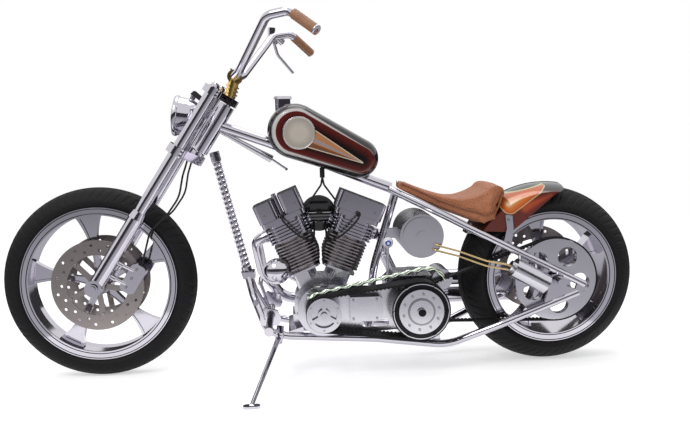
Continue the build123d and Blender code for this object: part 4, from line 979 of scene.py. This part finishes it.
# Places along each lead after its boot: off the plug towards the outside, across, height
LEAD_ROUTE = ((-4, -118, 568), (-34, -120, 536), (-68, -106, 506), (-100, -84, 490), (-112, -50, 488),
              (-116, -16, 500), (-117, 12, 520), (-117, 34, 540))
for side, name in ((-1, "front_plug_lead"), (1, "rear_plug_lead")):
    foot = on_cylinder(side, 0, PLUG_FACE, PLUG_UP)
    start = Vector((foot.x, PLUG_FACE - BOOT_OUT, foot.z))
    route = [start, start + Vector((0, -22, -2))]
    route += [Vector((foot.x + off * side, y, z)) for off, y, z in LEAD_ROUTE]
    lead, line = smooth_tube(name, [TO_SCENE @ point for point in route], LEAD_R, hose, "chassis")
    length = sum((b - a).length for a, b in zip(line, line[1:]))
    print(name, "length in metres", round(length, 3))

# %% [markdown]
# ## Ring round the tank's panel
# The round panel on each side of the tank has a raised bead. A torus would do, but a small
# circle spun about the panel's middle is the same and keeps to one tool.

# %% Spin the beads
BEAD_THICK, TANK_FACE = 1.8, 111.6
drawn = bmesh.new()
for side in (-1, 1):
    middle = (MEDAL[0] * 1000, side * TANK_FACE, MEDAL[1] * 1000)
    ring_spun(drawn, middle, MEDAL_R * 1000, BEAD_THICK)
beads = piece("tank_panel_beads", drawn, alloy, "chassis")
print("bead faces", len(beads.data.polygons))

# %% [markdown]
# ## Floor and light
# The photograph was taken against plain white with soft light from above. Polished metal
# looks like plaster when all round it is white, so a studio hangs dark cards where only
# the metal can see them. Here one dark hoop, a corner spun round the machine, does that.

# %% Floor
def stage_piece(name, drawn, made):
    """A mesh that belongs to the studio and not to the motorcycle."""
    mesh = bpy.data.meshes.new(name)
    drawn.to_mesh(mesh)
    drawn.free()
    mesh.materials.append(made)
    thing = bpy.data.objects.new(name, mesh)
    bpy.context.scene.collection.objects.link(thing)
    thing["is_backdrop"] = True
    return thing


def seen_factor(tree):
    """1 for rays that look at the background: from the camera, a mirror or glass."""
    path = tree.nodes.new("ShaderNodeLightPath")
    seen = path.outputs["Is Camera Ray"]
    for kind in ("Is Glossy Ray", "Is Transmission Ray"):
        both = tree.nodes.new("ShaderNodeMath")
        both.operation = "MAXIMUM"
        tree.links.new(seen, both.inputs[0])
        tree.links.new(path.outputs[kind], both.inputs[1])
        seen = both.outputs[0]
    return seen


FLOOR_GLOW = 0.52
floor_look = finish("floor", (0.88, 0.88, 0.89), 0.0, 0.9)
tree = floor_look.node_tree
dim = tree.nodes.new("ShaderNodeMath")
dim.operation = "MULTIPLY"
dim.inputs[1].default_value = FLOOR_GLOW
tree.links.new(seen_factor(tree), dim.inputs[0])
floor_shader = tree.nodes["Principled BSDF"]
floor_shader.inputs["Emission Color"].default_value = (1.0, 1.0, 1.0, 1.0)
floor_shader.inputs["Specular IOR Level"].default_value = 0.0
tree.links.new(dim.outputs[0], floor_shader.inputs["Emission Strength"])
drawn = bmesh.new()
bmesh.ops.create_grid(drawn, x_segments=1, y_segments=1, size=40)
floor = stage_piece("floor", drawn, floor_look)
print("floor width in metres", floor.dimensions.x)

# %% A dark hoop that only reflections see
HOOP_NEAR, HOOP_FAR, HOOP_FLOOR, HOOP_TOP = 0.8, 7.0, 0.004, 2.7
HOOP_STEPS, HOOP_OVAL = 64, 1.7
GLOW_NEAR, GLOW_FAR = 0.66, 0.05
drawn = bmesh.new()
bend = ((HOOP_NEAR, HOOP_FLOOR), (HOOP_FAR, HOOP_FLOOR), (HOOP_FAR, HOOP_TOP))
corners = [drawn.verts.new((r, 0, z)) for r, z in bend]
line = [drawn.edges.new(pair) for pair in zip(corners, corners[1:])]
full_spin(drawn, corners + line, (0, 0, 0), (0, 0, 1), HOOP_STEPS)
bmesh.ops.scale(drawn, vec=(HOOP_OVAL, 1, 1), verts=drawn.verts)
hoop_look = bpy.data.materials.new("hoop")
hoop_look.use_nodes = True
tree = hoop_look.node_tree
tree.nodes.clear()
source = tree.nodes.new("ShaderNodeTexCoord")
reach = tree.nodes.new("ShaderNodeVectorMath")
reach.operation = "LENGTH"
ramp = tree.nodes.new("ShaderNodeMapRange")
ramp.inputs["From Min"].default_value = HOOP_NEAR
ramp.inputs["From Max"].default_value = HOOP_FAR
ramp.inputs["To Min"].default_value = GLOW_NEAR
ramp.inputs["To Max"].default_value = GLOW_FAR
glow = tree.nodes.new("ShaderNodeEmission")
glow.inputs["Color"].default_value = (0.95, 0.95, 1.0, 1.0)
result = tree.nodes.new("ShaderNodeOutputMaterial")
tree.links.new(source.outputs["Object"], reach.inputs[0])
tree.links.new(reach.outputs["Value"], ramp.inputs["Value"])
tree.links.new(ramp.outputs["Result"], glow.inputs["Strength"])
tree.links.new(glow.outputs[0], result.inputs["Surface"])
hoop = stage_piece("dark_hoop", drawn, hoop_look)
hoop.visible_camera = hoop.visible_diffuse = False
hoop.visible_shadow = hoop.visible_transmission = False
print("hoop width in metres", round(hoop.dimensions.x, 1))

# %% A white world, gentler as a light than as a background
LIGHT_STRENGTH = 0.55
world = bpy.data.worlds.new("studio")
bpy.context.scene.world = world
world.use_nodes = True
tree = world.node_tree
background = tree.nodes["Background"]
background.inputs["Color"].default_value = (1.0, 1.0, 1.0, 1.0)
level = tree.nodes.new("ShaderNodeMapRange")
level.inputs["To Min"].default_value = LIGHT_STRENGTH
level.inputs["To Max"].default_value = 1.0
tree.links.new(seen_factor(tree), level.inputs["Value"])
tree.links.new(level.outputs["Result"], background.inputs["Strength"])

# %% Two soft lights
LOOK_AT = Vector((0, 0, 0.5))


def soft_light(name, spot, size, power):
    """A square light that looks at the motorcycle's middle."""
    data = bpy.data.lights.new(name, "AREA")
    data.shape, data.size, data.energy = "SQUARE", size, power
    lamp = bpy.data.objects.new(name, data)
    lamp.location = spot
    lamp.rotation_euler = (LOOK_AT - Vector(spot)).to_track_quat("-Z", "Y").to_euler()
    bpy.context.scene.collection.objects.link(lamp)


soft_light("key", (-2.4, -3.4, 4.4), 2.2, 95)
soft_light("top", (0.4, 1.0, 4.8), 3.0, 60)

# %% [markdown]
# ## The camera that took the photograph
# The camera was found from the photograph's wheels and fork, in the machine's own frame, as
# a place and three turns. The same place and turns are carried into the leaning frame.

# %% Camera
CAMERA_PLACE = Vector((728, -2908, 916))
YAW, PITCH, ROLL = 0.061, 0.118, -0.023
FOCAL_PX, PHOTO_W = 785.0, 690
SENSOR_MM = 36.0
look = Vector((sin(YAW) * cos(PITCH), cos(YAW) * cos(PITCH), -sin(PITCH)))
right = Vector((cos(YAW), -sin(YAW), 0))
over = right.cross(look)
right_turned = cos(ROLL) * right + sin(ROLL) * over
over_turned = -sin(ROLL) * right + cos(ROLL) * over
axes = Matrix((right_turned, over_turned, -look)).transposed()
data = bpy.data.cameras.new("photo camera")
data.sensor_width = SENSOR_MM
data.lens = FOCAL_PX / PHOTO_W * SENSOR_MM
camera = bpy.data.objects.new("photo camera", data)
camera.matrix_world = Matrix.Translation(TO_SCENE @ CAMERA_PLACE) @ (MACHINE @ axes).to_4x4()
bpy.context.scene.collection.objects.link(camera)
scene = bpy.context.scene
scene.camera = camera
scene.view_settings.view_transform = "Standard"
print("camera", [round(v, 3) for v in camera.location], "lens", round(data.lens, 2))

# %% Measure
low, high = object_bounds()
print("visual size in metres:", [round(v, 3) for v in high - low])
